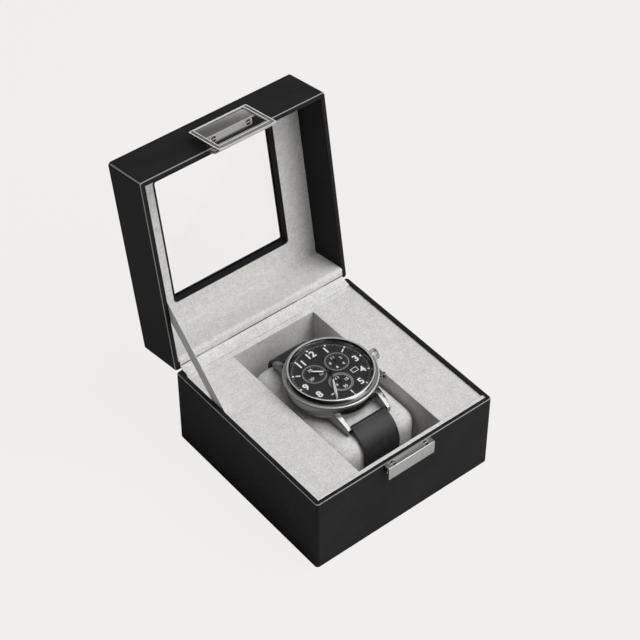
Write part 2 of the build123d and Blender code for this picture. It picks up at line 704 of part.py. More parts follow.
# Hasp plate: its front is rolled round the ring's pin, and a narrower flange turns in above the lid's rim to take
# the screws.
hasp_side = Plane(origin=lid_front_plane.origin, x_dir=lid_front_plane.z_dir, z_dir=(-1, 0, 0))
hasp_boss = hasp_depth - clasp_plate - play
hasp_screw_spots = [
    lid_plane.from_local_coords((x, -box_depth - hasp_depth / 2, flange_low)) for x in (-clasp_x, clasp_x)
]
with BuildPart() as hasp_cover:
    with BuildSketch(hasp_side):
        with Locations((hasp_depth - clasp_plate / 2, (flange_low + clasp_pin_height) / 2)):
            Rectangle(clasp_plate, clasp_pin_height - flange_low)
        with Locations((clasp_pin_depth, clasp_pin_height)):
            Circle(roll_radius)
            Circle(clasp_pin_radius + running_fit, mode=Mode.SUBTRACT)
    extrude(amount=clasp_half, both=True)
    with BuildSketch(hasp_side):
        with Locations((hasp_depth / 2, flange_low + clasp_plate / 2)):
            Rectangle(hasp_depth, clasp_plate)
    extrude(amount=flange_width / 2, both=True)
    for spot in hasp_screw_spots:
        with Locations(Plane(origin=spot, x_dir=(1, 0, 0), z_dir=-lid_plane.z_dir)):
            CounterSinkHole(
                clasp_screw_shank, clasp_screw_head, depth=2 * clasp_plate, counter_sink_angle=clasp_countersink
            )
hasp_cover.part.label = "hasp_cover"
export_step(hasp_cover.part, "parts/hasp_cover.step")

with BuildPart() as hasp_backplate:
    with BuildSketch(hasp_side):
        with Locations((clasp_plate / 2, flange_low + clasp_plate + backplate_height / 2)):
            Rectangle(clasp_plate, backplate_height)
    extrude(amount=clasp_half - backplate_inset, both=True)
    with Locations(lid_plane):
        with Locations([(x, -box_depth - hasp_boss / 2, flange_low + clasp_plate + boss_height / 2)
                        for x in (-clasp_x, clasp_x)]):
            Box(boss_width, hasp_boss, boss_height)
        with Locations([(x, -box_depth - hasp_depth / 2, flange_low) for x in (-clasp_x, clasp_x)]):
            Cylinder(clasp_screw_shank, 3 * clasp_screw_length, mode=Mode.SUBTRACT)
    with BuildSketch(lid_front_plane):
        with Locations(lid_rivet_places):
            Circle(rivet_radius)
    extrude(amount=clasp_plate, mode=Mode.SUBTRACT)
hasp_backplate.part.label = "hasp_backplate"
export_step(hasp_backplate.part, "parts/hasp_backplate.step")

with BuildPart() as hasp_screws:
    for spot in hasp_screw_spots:
        screw_plane = Plane(origin=spot, x_dir=(1, 0, 0), z_dir=-lid_plane.z_dir)
        countersunk_screw(screw_plane, clasp_screw_head, clasp_screw_shank, clasp_screw_length, clasp_countersink)
        screw_slot(screw_plane, clasp_screw_head)
hasp_screws.part.label = "hasp_screws"
export_step(hasp_screws.part, "parts/hasp_screws.step")

with BuildPart() as hasp_rivets:
    rivets(lid_front_plane, lid_rivet_places)
hasp_rivets.part.label = "hasp_rivets"
export_step(hasp_rivets.part, "parts/hasp_rivets.step")

# Ring: a flat frame round the hasp plate that swings on the pin, with raised edges, a lip that snaps under the
# keeper and two curls behind its lower corners. Its planes have their origin on the pin.
ring_middle = (ring_rise - ring_drop) / 2
ring_height = ring_rise + ring_drop
eye_high = ring_rise - ring_top_bar
eye_low = ring_low_bar - ring_drop
eye_width = ring_width - 2 * ring_bar
eye_height = eye_high - eye_low
ring_corner = 0.5
edge_width = 0.5
channel_depth = 0.15
lip_depth = 0.35
lip_clear = 0.3
lip_height = 2.0
lip_slope = 0.6
lip_root = 0.4
lip_high = base_height - keeper_drop - lip_clear - hinge_z - clasp_pin_height
lip_low = lip_high - lip_height
curl_inner = clasp_half + 0.3
curl_reach = 3.3  # how far the curls go back behind the ring
curl_rise = 8.4
curl_sheet = 0.7
curl_foot = 0.3  # above the ring's lower edge
curl_bow = (0.6, 0.36)  # where the curl bows, as shares of its reach and rise
ear_inner = clasp_half + 0.2
ear_thickness = 1.2
with BuildPart() as hasp_ring:
    with BuildSketch(ring_face.offset(ring_back)):
        with Locations((0, ring_middle)):
            RectangleRounded(ring_width, ring_height, ring_corner)
        with Locations((0, (eye_high + eye_low) / 2)):
            Rectangle(eye_width, eye_height, mode=Mode.SUBTRACT)
    extrude(amount=ring_thickness)
    with BuildSketch(ring_face.offset(ring_back + ring_thickness - channel_depth)):
        with Locations((0, ring_middle)):
            Rectangle(ring_width - 2 * edge_width, ring_height - 2 * edge_width)
        with Locations((0, (eye_high + eye_low) / 2)):
            Rectangle(eye_width + 2 * edge_width, eye_height + 2 * edge_width, mode=Mode.SUBTRACT)
        with Locations((0, (eye_high + edge_width + ring_rise) / 2)):
            Rectangle(ring_width, ring_top_bar - edge_width, mode=Mode.SUBTRACT)
    extrude(amount=channel_depth, mode=Mode.SUBTRACT)
    with BuildSketch(ring_side):
        with BuildLine():
            Polyline(
                (ring_back, lip_low - lip_slope),
                (ring_back - lip_depth, lip_low),
                (ring_back - lip_depth, lip_high),
                (ring_back + lip_root, lip_high),
                (ring_back + lip_root, lip_low - lip_slope),
                close=True,
            )
        make_face()
    extrude(amount=clasp_half, both=True)
    with BuildSketch(ring_side.offset(curl_inner), ring_side.offset(-ring_width / 2)):
        with BuildLine():
            outer_curl = ThreePointArc(
                (ring_back + ring_thickness, curl_foot - ring_drop),
                (ring_back - curl_bow[0] * curl_reach, curl_bow[1] * curl_rise - ring_drop),
                (ring_back - curl_reach, curl_rise - ring_drop),
            )
            inner_curl = ThreePointArc(
                (ring_back - curl_reach + curl_sheet, curl_rise - ring_drop),
                (
                    ring_back - curl_bow[0] * curl_reach + curl_sheet,
                    curl_bow[1] * curl_rise + curl_sheet - ring_drop,
                ),
                (ring_back + ring_thickness, curl_foot + curl_sheet - ring_drop),
            )
            Line(outer_curl @ 1, inner_curl @ 0)
            Line(inner_curl @ 1, outer_curl @ 0)
        make_face()
    extrude(amount=ring_width / 2 - curl_inner)
    with BuildSketch(ring_side.offset(ear_inner), ring_side.offset(-ear_inner - ear_thickness)):
        Circle(roll_radius)
        with Locations(((ring_back + lip_root) / 2, 0)):
            Rectangle(ring_back + lip_root, 2 * roll_radius)
    extrude(amount=ear_thickness)
    with BuildSketch(ring_side):
        Circle(clasp_pin_radius)
    extrude(amount=ear_inner + ear_thickness, both=True, mode=Mode.SUBTRACT)
hasp_ring.part.label = "hasp_ring"
export_step(hasp_ring.part, "parts/hasp_ring.step")

with BuildPart() as hasp_pin:
    with BuildSketch(ring_side):
        Circle(clasp_pin_radius)
    extrude(amount=ear_inner + ear_thickness, both=True)
hasp_pin.part.label = "hasp_pin"
export_step(hasp_pin.part, "parts/hasp_pin.step")

# ================================================================ CUSHION
# The strap runs round the cushion in a closed loop; this is the middle of its thickness. The 6 o'clock half passes
# down the front and under the other half, which comes down the back to the buckle.
strap_half = strap_thickness / 2
bar_height = cushion_top + bar_rise
front_bar = (watch_y - bar_reach, bar_height)
back_bar = (watch_y + bar_reach, bar_height)
front_side = watch_y - strap_reach
back_side = -front_side
front_turn_drop = 9.5  # from the cushion's top to where the front run becomes upright
back_turn_drop = 6.1
front_turn = cushion_top - front_turn_drop
back_turn = cushion_top - back_turn_drop
band_thickness = 0.8  # the strap's keeper bands
layer_gap = 0.2
upper_layer = cushion_low - layer_gap - band_thickness - play / 2 - strap_half
lower_layer = upper_layer - strap_thickness - layer_gap
upper_bend = 6.0
lower_bend = upper_bend + upper_layer - lower_layer
loop_clear = 0.3

# Suede cushion, pressed in where the strap goes round it.
cushion_round = 8.0
cushion_low_round = 5.0
cushion_end_round = 3.0
with BuildPart() as cushion:
    with BuildSketch(Plane.YZ) as cushion_section:
        with Locations((0, (cushion_low + cushion_top) / 2)):
            Rectangle(cushion_depth, cushion_top - cushion_low)
        fillet(cushion_section.vertices().group_by(Axis.Y)[-1], cushion_round)
        fillet(cushion_section.vertices().group_by(Axis.Y)[0], cushion_low_round)
    extrude(amount=cushion_width / 2, both=True)
    fillet(cushion.faces().filter_by(Axis.X).edges(), cushion_end_round)
    with BuildSketch(Plane.YZ):
        Rectangle(3 * cushion_depth, 3 * cushion_depth)
        with BuildLine():
            front_arc = TangentArc((front_side, front_turn), front_bar, tangent=(0, 1))
            back_arc = TangentArc((back_side, back_turn), back_bar, tangent=(0, 1))
            low_front = TangentArc(
                (front_side, upper_layer + upper_bend), (front_side + upper_bend, upper_layer), tangent=(0, -1)
            )
            low_back = TangentArc(
                (back_side, upper_layer + upper_bend), (back_side - upper_bend, upper_layer), tangent=(0, -1)
            )
            Line(front_bar, back_bar)
            Line(front_arc @ 0, low_front @ 0)
            Line(back_arc @ 0, low_back @ 0)
            Line(low_front @ 1, low_back @ 1)
            offset(amount=-strap_half - loop_clear)
        make_face(mode=Mode.SUBTRACT)
    extrude(amount=strap_width / 2 + loop_clear, both=True, mode=Mode.SUBTRACT)
cushion.part.label = "cushion"
export_step(cushion.part, "parts/cushion.step")

# ================================================================ WATCH
back_thickness = 1.4
dial_thickness = 1.0
counter_depth = 0.15
hand_thickness = 0.2
hand_steps = {"counter": 0.2, "hour": 0.5, "minute": 0.9, "second": 1.3}  # above the dial
crystal_gap = 1.65  # between the dial and the glass
crystal_lap = 0.1  # the glass above the bezel
back_low = cushion_top + loop_clear
case_low = back_low + back_thickness
case_top = case_low + case_height
bezel_top = case_top + bezel_height
dial_top = case_top + dial_thickness
crystal_low = dial_top + crystal_gap
crystal_top = bezel_top + crystal_lap
back_radius = 17.8
dial_radius = crystal_radius - 0.1
flank_foot = case_radius - 2.4  # the case's radius at its foot
flank_bulge = (case_radius - 0.6, 2.0)  # radius and height on the way out to the full radius
flank_height = 4.6
case_edge = 0.5
button_height = case_low + 5.0
button_angle = 33.0
lug_inner = strap_width / 2 + 0.25
lug_outer = 13.2
lug_outer_tip = 12.1
lug_root = 14.0  # where the lugs leave the case, from the watch's middle
lug_shoulder = 20.5
lug_slope = 24.8
lug_root_height = 4.9  # heights above the case's foot
lug_shoulder_height = 5.2
lug_slope_height = 3.4
lug_tip_height = 2.0
lug_tip_drop = 1.0
lug_belly_height = 0.4
lug_taper_start = 17.0
bar_radius = 0.75
bar_tip_radius = 0.4
bar_tip_length = 0.7
crown_radius = 2.7
crown_length = 3.8
crown_gap = 0.3  # between its neck and the crown
crown_stem_radius = 0.6
crown_neck = case_radius + 0.8
crown_reach = crown_neck + crown_gap + crown_length
crown_neck_radius = 1.4
crown_wall = 1.2  # from the stem's end to the crown's face
crown_flutes = 16
flute_radius = 0.32
pusher_neck_radius = 1.35
pusher_radius = 1.7
pusher_edge = 0.3
pusher_stem_radius = 0.7
pusher_length = 1.8
button_gap = 0.9  # between a neck and its button
pusher_neck = case_radius + 0.6
pusher_reach = pusher_neck + button_gap + pusher_length
neck_root = 1.0  # how far the necks and stems run on inside
stem_inner = case_radius - 2.8
stem_bore = stem_inner - neck_root

watch_plane = Plane(origin=(0, watch_y, 0))
crown_axis = Plane(origin=(0, watch_y, button_height), x_dir=(0, 1, 0), z_dir=(1, 0, 0))
pusher_axes = [crown_axis.rotated((0, 0, turn)) for turn in (button_angle, -button_angle)]

# Case: turned middle with four curved lugs and the necks of the crown and the two pushers.
with BuildPart() as watch_case:
    with BuildSketch(Plane.XZ.offset(-watch_y)):
        with BuildLine():
            Polyline((0, case_top), (0, case_low), (flank_foot, case_low))
            flank = ThreePointArc(
                (flank_foot, case_low),
                (flank_bulge[0], case_low + flank_bulge[1]),
                (case_radius, case_low + flank_height),
            )
            Polyline(
                flank @ 1, (case_radius, case_top - case_edge), (case_radius - case_edge, case_top), (0, case_top)
            )
        make_face()
    revolve(axis=Axis((0, watch_y, 0), (0, 0, 1)))
    with BuildSketch(Plane.YZ.offset(lug_inner), Plane.YZ.offset(-lug_outer)):
        for side in (-1, 1):
            with BuildLine():
                lug_back = Spline(
                    (watch_y + side * lug_root, case_low + lug_root_height),
                    (watch_y + side * lug_shoulder, case_low + lug_shoulder_height),
                    (watch_y + side * lug_slope, case_low + lug_slope_height),
                    (watch_y + side * lug_reach, case_low + lug_tip_height),
                )
                lug_tip = Line(lug_back @ 1, (watch_y + side * lug_reach, case_low - lug_tip_drop))
                lug_belly = Spline(
                    lug_tip @ 1,
                    (watch_y + side * lug_shoulder, case_low - lug_belly_height),
                    (watch_y + side * lug_root, case_low + lug_belly_height),
                )
                Line(lug_belly @ 1, lug_back @ 0)
            make_face()
    extrude(amount=lug_outer - lug_inner)
    with BuildSketch(watch_plane.offset(case_low - 2 * lug_tip_drop)):
        for side in (-1, 1):
            with BuildLine():
                Polyline(
                    (side * lug_outer_tip, -lug_reach),
                    (side * 2 * lug_outer, -lug_reach),
                    (side * 2 * lug_outer, lug_reach),
                    (side * lug_outer_tip, lug_reach),
                    (side * lug_outer, lug_taper_start),
                    (side * lug_outer, -lug_taper_start),
                    close=True,
                )
            make_face()
        Circle(case_radius, mode=Mode.SUBTRACT)
    extrude(amount=2 * case_height, mode=Mode.SUBTRACT)
    with BuildSketch(crown_axis.offset(case_radius - neck_root)):
        Circle(crown_neck_radius)
    extrude(amount=crown_neck - case_radius + neck_root)
    for axis_plane in pusher_axes:
        with BuildSketch(axis_plane.offset(case_radius - neck_root)):
            Circle(pusher_neck_radius)
        extrude(amount=pusher_neck - case_radius + neck_root)
        with BuildSketch(axis_plane.offset(stem_bore)):
            Circle(pusher_stem_radius + running_fit)
        extrude(amount=pusher_neck - stem_bore, mode=Mode.SUBTRACT)
    with BuildSketch(crown_axis.offset(stem_bore)):
        Circle(crown_stem_radius + running_fit)
    extrude(amount=crown_neck - stem_bore, mode=Mode.SUBTRACT)
    with Locations([(0, bar_y, bar_z) for bar_y, bar_z in (front_bar, back_bar)]):
        Cylinder(
            bar_tip_radius, 2 * (lug_inner + bar_tip_length) + play, rotation=(0, 90, 0), mode=Mode.SUBTRACT
        )
watch_case.part.label = "watch_case"
export_step(watch_case.part, "parts/watch_case.step")

back_edge = 0.6
with BuildPart() as watch_back:
    with BuildSketch(watch_plane.offset(back_low)):
        Circle(back_radius)
    extrude(amount=case_low - back_low)
    chamfer(watch_back.faces().sort_by(Axis.Z)[0].edges(), back_edge)
watch_back.part.label = "watch_back"
export_step(watch_back.part, "parts/watch_back.step")

# Bezel: a polished ring with a turned step, which slopes up to the glass.
bezel_bore = crystal_radius + running_fit
bezel_lip = 0.5
bezel_band = 0.8
bezel_step = 0.4
bezel_shoulder = 1.7
bezel_dome = 0.15
with BuildPart() as watch_bezel:
    with BuildSketch(Plane.XZ.offset(-watch_y)):
        with BuildLine():
            Polyline(
                (bezel_bore + bezel_lip, bezel_top),
                (bezel_bore, bezel_top),
                (bezel_bore, case_top),
                (bezel_radius, case_top),
                (bezel_radius, case_top + bezel_band),
                (bezel_radius - bezel_step, case_top + bezel_band + bezel_step / 2),
                (bezel_radius - bezel_step, case_top + bezel_shoulder),
            )
            ThreePointArc(
                (bezel_radius - bezel_step, case_top + bezel_shoulder),
                (
                    (bezel_radius - bezel_step + bezel_bore + bezel_lip) / 2 + bezel_dome,
                    (case_top + bezel_shoulder + bezel_top) / 2 + bezel_dome,
                ),
                (bezel_bore + bezel_lip, bezel_top),
            )
        make_face()
    revolve(axis=Axis((0, watch_y, 0), (0, 0, 1)))
watch_bezel.part.label = "watch_bezel"
export_step(watch_bezel.part, "parts/watch_bezel.step")

crystal_edge = 0.35
with BuildPart() as watch_crystal:
    with BuildSketch(watch_plane.offset(crystal_low)):
        Circle(crystal_radius)
    extrude(amount=crystal_top - crystal_low)
    chamfer(watch_crystal.faces().sort_by(Axis.Z)[-1].edges(), crystal_edge)
watch_crystal.part.label = "watch_crystal"
export_step(watch_crystal.part, "parts/watch_crystal.step")

# Flange: the sloping steel ring between the dial and the glass.
flange_foot = 1.1
flange_top = 0.4
with BuildPart() as watch_flange:
    with BuildSketch(Plane.XZ.offset(-watch_y)):
        with BuildLine():
            Polyline(
                (dial_radius - flange_foot, dial_top),
                (dial_radius, dial_top),
                (dial_radius, crystal_low),
                (dial_radius - flange_top, crystal_low),
                close=True,
            )
        make_face()
    revolve(axis=Axis((0, watch_y, 0), (0, 0, 1)))
watch_flange.part.label = "watch_flange"
export_step(watch_flange.part, "parts/watch_flange.step")

# Dial: three sunk counters, a date opening and holes for the arbors.
counter_radius = 5.1
counters = {"left": (-6.4, 3.7), "right": (6.4, 3.7), "low": (0.0, -7.2)}
date_place = (9.3, -5.2)
date_width = 2.8
date_height = 1.9
date_depth = 0.3
hour_tube = 0.9
minute_tube = 0.65
second_arbor = 0.37
counter_arbor = 0.25
with BuildPart() as watch_dial:
    with BuildSketch(watch_plane.offset(case_top)):
        Circle(dial_radius)
    extrude(amount=dial_top - case_top)
    with BuildSketch(watch_plane.offset(dial_top - counter_depth)):
        with Locations(*counters.values()):
            Circle(counter_radius)
    extrude(amount=counter_depth, mode=Mode.SUBTRACT)
    with BuildSketch(watch_plane.offset(dial_top - date_depth)):
        with Locations(date_place):
            Rectangle(date_width, date_height)
    extrude(amount=date_depth, mode=Mode.SUBTRACT)
    with BuildSketch(watch_plane.offset(case_top)):
        Circle(hour_tube + running_fit)
        with Locations(*counters.values()):
            Circle(counter_arbor + running_fit)
    extrude(amount=dial_top - case_top, mode=Mode.SUBTRACT)
watch_dial.part.label = "watch_dial"
export_step(watch_dial.part, "parts/watch_dial.step")

# Hands: flat pointers on tubes that turn one inside the other. Angles run clockwise from 12.
arbor_foot = case_top + play
hour_angle = 309.0
minute_angle = 209.5
second_angle = 208.5
counter_angles = {"left": 230.0, "right": 0.0, "low": 0.0}
# Each pointer's tail, where it starts to swell, its reach from the middle and its greatest width.
hour_shape = (1.0, 3.0, 9.6, 1.8)
minute_shape = (1.0, 5.2, 17.0, 1.7)
second_shape = (4.5, 2.0, 16.6, 0.5)
counter_shape = (1.0, 1.2, 4.2, 0.5)
hand_level = {name: dial_top + step for name, step in hand_steps.items()}


def pointer(level, angle, shape, middle=(0, 0)):
    """A leaf-shaped pointer that lies flat at its level: it swells from the waist and ends in a fine point."""
    tail, waist, reach, width = shape
    swell = reach - waist
    place = Plane(
        origin=(middle[0], watch_y + middle[1], level),
        x_dir=(cos(radians(angle)), -sin(radians(angle)), 0),
        z_dir=(0, 0, 1),
    )
    with BuildSketch(place) as outline:
        with BuildLine():
            Polyline(
                (width / 8, -tail),
                (width / 5, waist),
                (width / 2, waist + swell / 4),
                (width / 3, waist + 3 * swell / 4),
                (0, reach),
                (-width / 3, waist + 3 * swell / 4),
                (-width / 2, waist + swell / 4),
                (-width / 5, waist),
                (-width / 8, -tail),
                close=True,
            )
        make_face()
    extrude(outline.sketch, amount=hand_thickness)


def arbor(outer, inner, top, middle=(0, 0)):
    """The tube or pin that a hand turns on, from just above the case to the hand's upper side."""
    with BuildSketch(Plane(origin=(middle[0], watch_y + middle[1], arbor_foot))) as ring:
        Circle(outer)
        if inner:
            Circle(inner, mode=Mode.SUBTRACT)
    extrude(ring.sketch, amount=top - arbor_foot)


with BuildPart() as hand_hour:
    pointer(hand_level["hour"], hour_angle, hour_shape)
    arbor(hour_tube, 0, hand_level["hour"] + hand_thickness)
    with BuildSketch(Plane(origin=(0, watch_y, arbor_foot))):
        Circle(minute_tube + running_fit)
    extrude(amount=crystal_low - arbor_foot, mode=Mode.SUBTRACT)
hand_hour.part.label = "hand_hour"
export_step(hand_hour.part, "parts/hand_hour.step")

with BuildPart() as hand_minute:
    pointer(hand_level["minute"], minute_angle, minute_shape)
    arbor(minute_tube, 0, hand_level["minute"] + hand_thickness)
    with BuildSketch(Plane(origin=(0, watch_y, arbor_foot))):
        Circle(second_arbor + running_fit)
    extrude(amount=crystal_low - arbor_foot, mode=Mode.SUBTRACT)
hand_minute.part.label = "hand_minute"
export_step(hand_minute.part, "parts/hand_minute.step")

with BuildPart() as hand_second:
    pointer(hand_level["second"], second_angle, second_shape)
    arbor(second_arbor, 0, hand_level["second"] + hand_thickness)
hand_second.part.label = "hand_second"
export_step(hand_second.part, "parts/hand_second.step")

for side, middle in counters.items():
    with BuildPart() as hand_counter:
        pointer(hand_level["counter"], counter_angles[side], counter_shape, middle)
        arbor(counter_arbor, 0, hand_level["counter"] + hand_thickness, middle)
    hand_counter.part.label = f"hand_{side}"
    export_step(hand_counter.part, f"parts/hand_{side}.step")

# Crown: a fluted knob on a stem that pulls out.
with BuildPart() as crown_stem:
    with BuildSketch(crown_axis.offset(stem_inner)):
        Circle(crown_stem_radius)
    extrude(amount=crown_reach - crown_wall - stem_inner)
crown_stem.part.label = "crown_stem"
export_step(crown_stem.part, "parts/crown_stem.step")

crown_start = crown_neck + crown_gap
with BuildPart() as crown:
    with BuildSketch(crown_axis.offset(crown_start)):
        Circle(crown_radius)
        with PolarLocations(crown_radius + flute_radius / 3, crown_flutes):
            Circle(flute_radius, mode=Mode.SUBTRACT)
    extrude(amount=crown_reach - crown_start)
    with BuildSketch(crown_axis.offset(crown_start)):
        Circle(crown_stem_radius + running_fit)
    extrude(amount=crown_reach - crown_wall + play - crown_start, mode=Mode.SUBTRACT)
crown.part.label = "crown"
export_step(crown.part, "parts/crown.step")

# Pushers: sprung buttons above and below the crown.
for name, axis_plane in zip(("pusher_high", "pusher_low"), pusher_axes):
    with BuildPart() as pusher:
        with BuildSketch(axis_plane.offset(stem_inner)):
            Circle(pusher_stem_radius)
        extrude(amount=pusher_neck + 2 * button_gap - stem_inner)
        with BuildSketch(axis_plane.offset(pusher_neck + button_gap)):
            Circle(pusher_radius)
        extrude(amount=pusher_reach - pusher_neck - button_gap)
        chamfer(pusher.faces().sort_by(Axis((0, 0, 0), axis_plane.z_dir))[-1].edges(), pusher_edge)
    pusher.part.label = name
    export_step(pusher.part, f"parts/{name}.step")

# Spring bars across the lugs.
with BuildPart() as spring_bars:
    with Locations([(0, bar_y, bar_z) for bar_y, bar_z in (front_bar, back_bar)]):
        Cylinder(bar_radius, 2 * lug_inner - play, rotation=(0, 90, 0))
        Cylinder(bar_tip_radius, 2 * (lug_inner + bar_tip_length), rotation=(0, 90, 0))
spring_bars.part.label = "spring_bars"
export_step(spring_bars.part, "parts/spring_bars.step")

# Strap: two leather halves, each folded round its spring bar and narrowing to the buckle.
buckle_y = 2.0
strap_eye = 1.5
taper_start = 2.2  # below the spring bars
tang_slot_width = 1.6
tang_slot_length = 3.4
loop_slack = 0.02


def taper_cut():
    """Narrow the strap from its full width at the lugs to its end width below the cushion's middle."""
    with BuildSketch(Plane.XZ) as sides:
        for side in (-1, 1):
            with BuildLine():
                Polyline(
                    (side * strap_width / 2, bar_height - taper_start),
                    (side * strap_width, bar_height - taper_start),
                    (side * strap_width, 0),
                    (side * strap_end_width / 2, 0),
                    (side * strap_end_width / 2, lower_layer + lower_bend),
                    close=True,
                )
            make_face()
    extrude(sides.sketch, amount=cushion_depth, both=True, mode=Mode.SUBTRACT)


with BuildPart() as strap_short:
    with BuildSketch(Plane.YZ):
        with BuildLine():
            upright = TangentArc((back_side, back_turn), back_bar, tangent=(0, 1))
            bend = TangentArc(
                (back_side, upper_layer + upper_bend), (back_side - upper_bend, upper_layer), tangent=(0, -1)
            )
            Line(upright @ 0, bend @ 0)
            Line(bend @ 1, (buckle_y, upper_layer))
            offset(amount=strap_half, side=Side.BOTH)
        make_face()
        with Locations(back_bar):
            Circle(strap_eye)
            Circle(bar_radius, mode=Mode.SUBTRACT)
        with Locations((buckle_y, upper_layer)):
            Circle(bar_radius + loop_slack, mode=Mode.SUBTRACT)
    extrude(amount=strap_width / 2, both=True)
    taper_cut()
    with Locations((0, buckle_y, upper_layer)):
        Box(tang_slot_width, tang_slot_length, 2 * strap_thickness, mode=Mode.SUBTRACT)
strap_short.part.label = "strap_short"
export_step(strap_short.part, "parts/strap_short.step")

strap_tip = 24.0
hole_pitch = 6.5
hole_radius = 0.9
tang_run = 5.6  # from the buckle's bar to the hole the tang goes through
tang_hole = buckle_y - tang_run
with BuildPart() as strap_long:
    with BuildSketch(Plane.YZ):
        with BuildLine():
            upright = TangentArc((front_side, front_turn), front_bar, tangent=(0, 1))
            bend = TangentArc(
                (front_side, lower_layer + lower_bend), (front_side + lower_bend, lower_layer), tangent=(0, -1)
            )
            Line(upright @ 0, bend @ 0)
            Line(bend @ 1, (strap_tip, lower_layer))
            offset(amount=strap_half, side=Side.BOTH)
        make_face()
        with Locations(front_bar):
            Circle(strap_eye)
            Circle(bar_radius, mode=Mode.SUBTRACT)
    extrude(amount=strap_width / 2, both=True)
    taper_cut()
    with Locations([(0, tang_hole + n * hole_pitch, lower_layer) for n in range(-2, 4)]):
        Cylinder(hole_radius, 2 * strap_thickness, mode=Mode.SUBTRACT)
strap_long.part.label = "strap_long"
export_step(strap_long.part, "parts/strap_long.step")

band_slack = 0.4
band_half_length = 2.2
band_start = 6.0  # from the buckle's bar to the first band
band_step = 7.5
band_width = strap_end_width + band_slack
band_height = upper_layer - lower_layer + strap_thickness + play
with BuildPart() as strap_bands:
    for band_y in (buckle_y + band_start, buckle_y + band_start + band_step):
        with BuildSketch(Plane.XZ.offset(-band_y)):
            with Locations((0, (upper_layer + lower_layer) / 2)):
                Rectangle(band_width + 2 * band_thickness, band_height + 2 * band_thickness)
                Rectangle(band_width, band_height, mode=Mode.SUBTRACT)
        extrude(amount=band_half_length, both=True)
strap_bands.part.label = "strap_bands"
export_step(strap_bands.part, "parts/strap_bands.step")

# Buckle: a bent frame on its own bar, with a flat tang through the strap's third hole.
arm_inner = strap_end_width / 2 + 0.3
arm_thickness = 1.2
arm_run = 9.0
frame_y = buckle_y - arm_run
frame_z = lower_layer - strap_half - bar_radius - play
with BuildPart() as buckle:
    with BuildSketch(Plane.YZ.offset(arm_inner), Plane.YZ.offset(-arm_inner - arm_thickness)):
        with BuildLine():
            Line((buckle_y, upper_layer), (frame_y, frame_z))
            offset(amount=bar_radius, side=Side.BOTH)
        make_face()
    extrude(amount=arm_thickness)
    with Locations((0, buckle_y, upper_layer), (0, frame_y, frame_z)):
        Cylinder(bar_radius, 2 * arm_inner + arm_thickness, rotation=(0, 90, 0))
buckle.part.label = "buckle"
export_step(buckle.part, "parts/buckle.step")

tang_half = 0.4
tang_half_width = 0.55
tang_bend = 0.5
tang_level = lower_layer - strap_half - tang_half - play
with BuildPart() as buckle_tang:
    with BuildSketch(Plane.YZ):
        with BuildLine():
            Polyline(
                (buckle_y - bar_radius - tang_half, upper_layer),
                (tang_hole + tang_bend, upper_layer - tang_half),
                (tang_hole - play, tang_level),
                (frame_y + bar_radius + tang_half, tang_level),
            )
            offset(amount=tang_half, side=Side.BOTH)
        make_face()
    extrude(amount=tang_half_width, both=True)
buckle_tang.part.label = "buckle_tang"
export_step(buckle_tang.part, "parts/buckle_tang.step")
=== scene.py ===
"""Looks of a display box for one wristwatch: leather-covered boards, suede lining, clasp, cushion, watch."""

import json
from math import atan2, cos, degrees, hypot, pi, radians, sin, sqrt

import bmesh
import bpy
from mathutils import Matrix, Vector, noise


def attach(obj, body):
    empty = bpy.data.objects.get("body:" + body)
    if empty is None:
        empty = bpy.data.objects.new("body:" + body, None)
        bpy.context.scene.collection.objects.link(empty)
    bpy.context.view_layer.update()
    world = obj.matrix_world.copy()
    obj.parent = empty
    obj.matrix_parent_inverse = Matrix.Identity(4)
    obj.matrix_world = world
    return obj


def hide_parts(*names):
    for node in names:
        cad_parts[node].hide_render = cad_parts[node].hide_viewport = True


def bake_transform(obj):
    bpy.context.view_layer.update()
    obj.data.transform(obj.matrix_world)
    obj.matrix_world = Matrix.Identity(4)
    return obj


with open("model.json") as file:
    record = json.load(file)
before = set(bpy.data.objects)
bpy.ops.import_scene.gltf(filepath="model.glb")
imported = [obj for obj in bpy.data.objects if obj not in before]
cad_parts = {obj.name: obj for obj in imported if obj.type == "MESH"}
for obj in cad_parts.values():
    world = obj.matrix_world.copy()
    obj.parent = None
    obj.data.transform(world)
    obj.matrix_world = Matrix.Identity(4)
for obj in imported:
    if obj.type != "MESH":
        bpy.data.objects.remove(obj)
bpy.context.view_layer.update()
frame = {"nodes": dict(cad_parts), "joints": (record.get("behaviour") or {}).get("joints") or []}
nodes = frame["nodes"]
joints = {joint["name"]: joint for joint in frame["joints"]}


# ---------------------------------------------------------------- CAMERA AND STUDIO
# A long lens above the front left corner looks down into the open box. The box stands on a pale table top
# under one broad soft lamp, with a weaker one in front.
def linear(code):
    """An sRGB hex colour as linear RGBA."""
    levels = [int(code[i:i + 2], 16) / 255 for i in (1, 3, 5)]
    return [c / 12.92 if c <= 0.04045 else ((c + 0.055) / 1.055) ** 2.4 for c in levels] + [1.0]


def add_node(tree, kind, settings=None, links=None):
    """Add a shader node by the end of its name, set its sockets and properties by name, and link its inputs
    from other sockets. A ramp's stops are two positions, each with a hex colour."""
    made = tree.nodes.new("ShaderNode" + kind)
    for name, value in (settings or {}).items():
        if name == "stops":
            for element, (position, code) in zip(made.color_ramp.elements, value):
                element.position = position
                element.color = linear(code)
        elif isinstance(name, int) or name in made.inputs:
            made.inputs[name].default_value = value
        else:
            setattr(made, name, value)
    for name, source in (links or {}).items():
        tree.links.new(source, made.inputs[name])
    return made


def new_material(name):
    """An empty node material, with its tree and its output's surface socket."""
    material = bpy.data.materials.new(name)
    material.use_nodes = True
    material.node_tree.nodes.clear()
    output = add_node(material.node_tree, "OutputMaterial")
    return material, material.node_tree, output.inputs["Surface"]


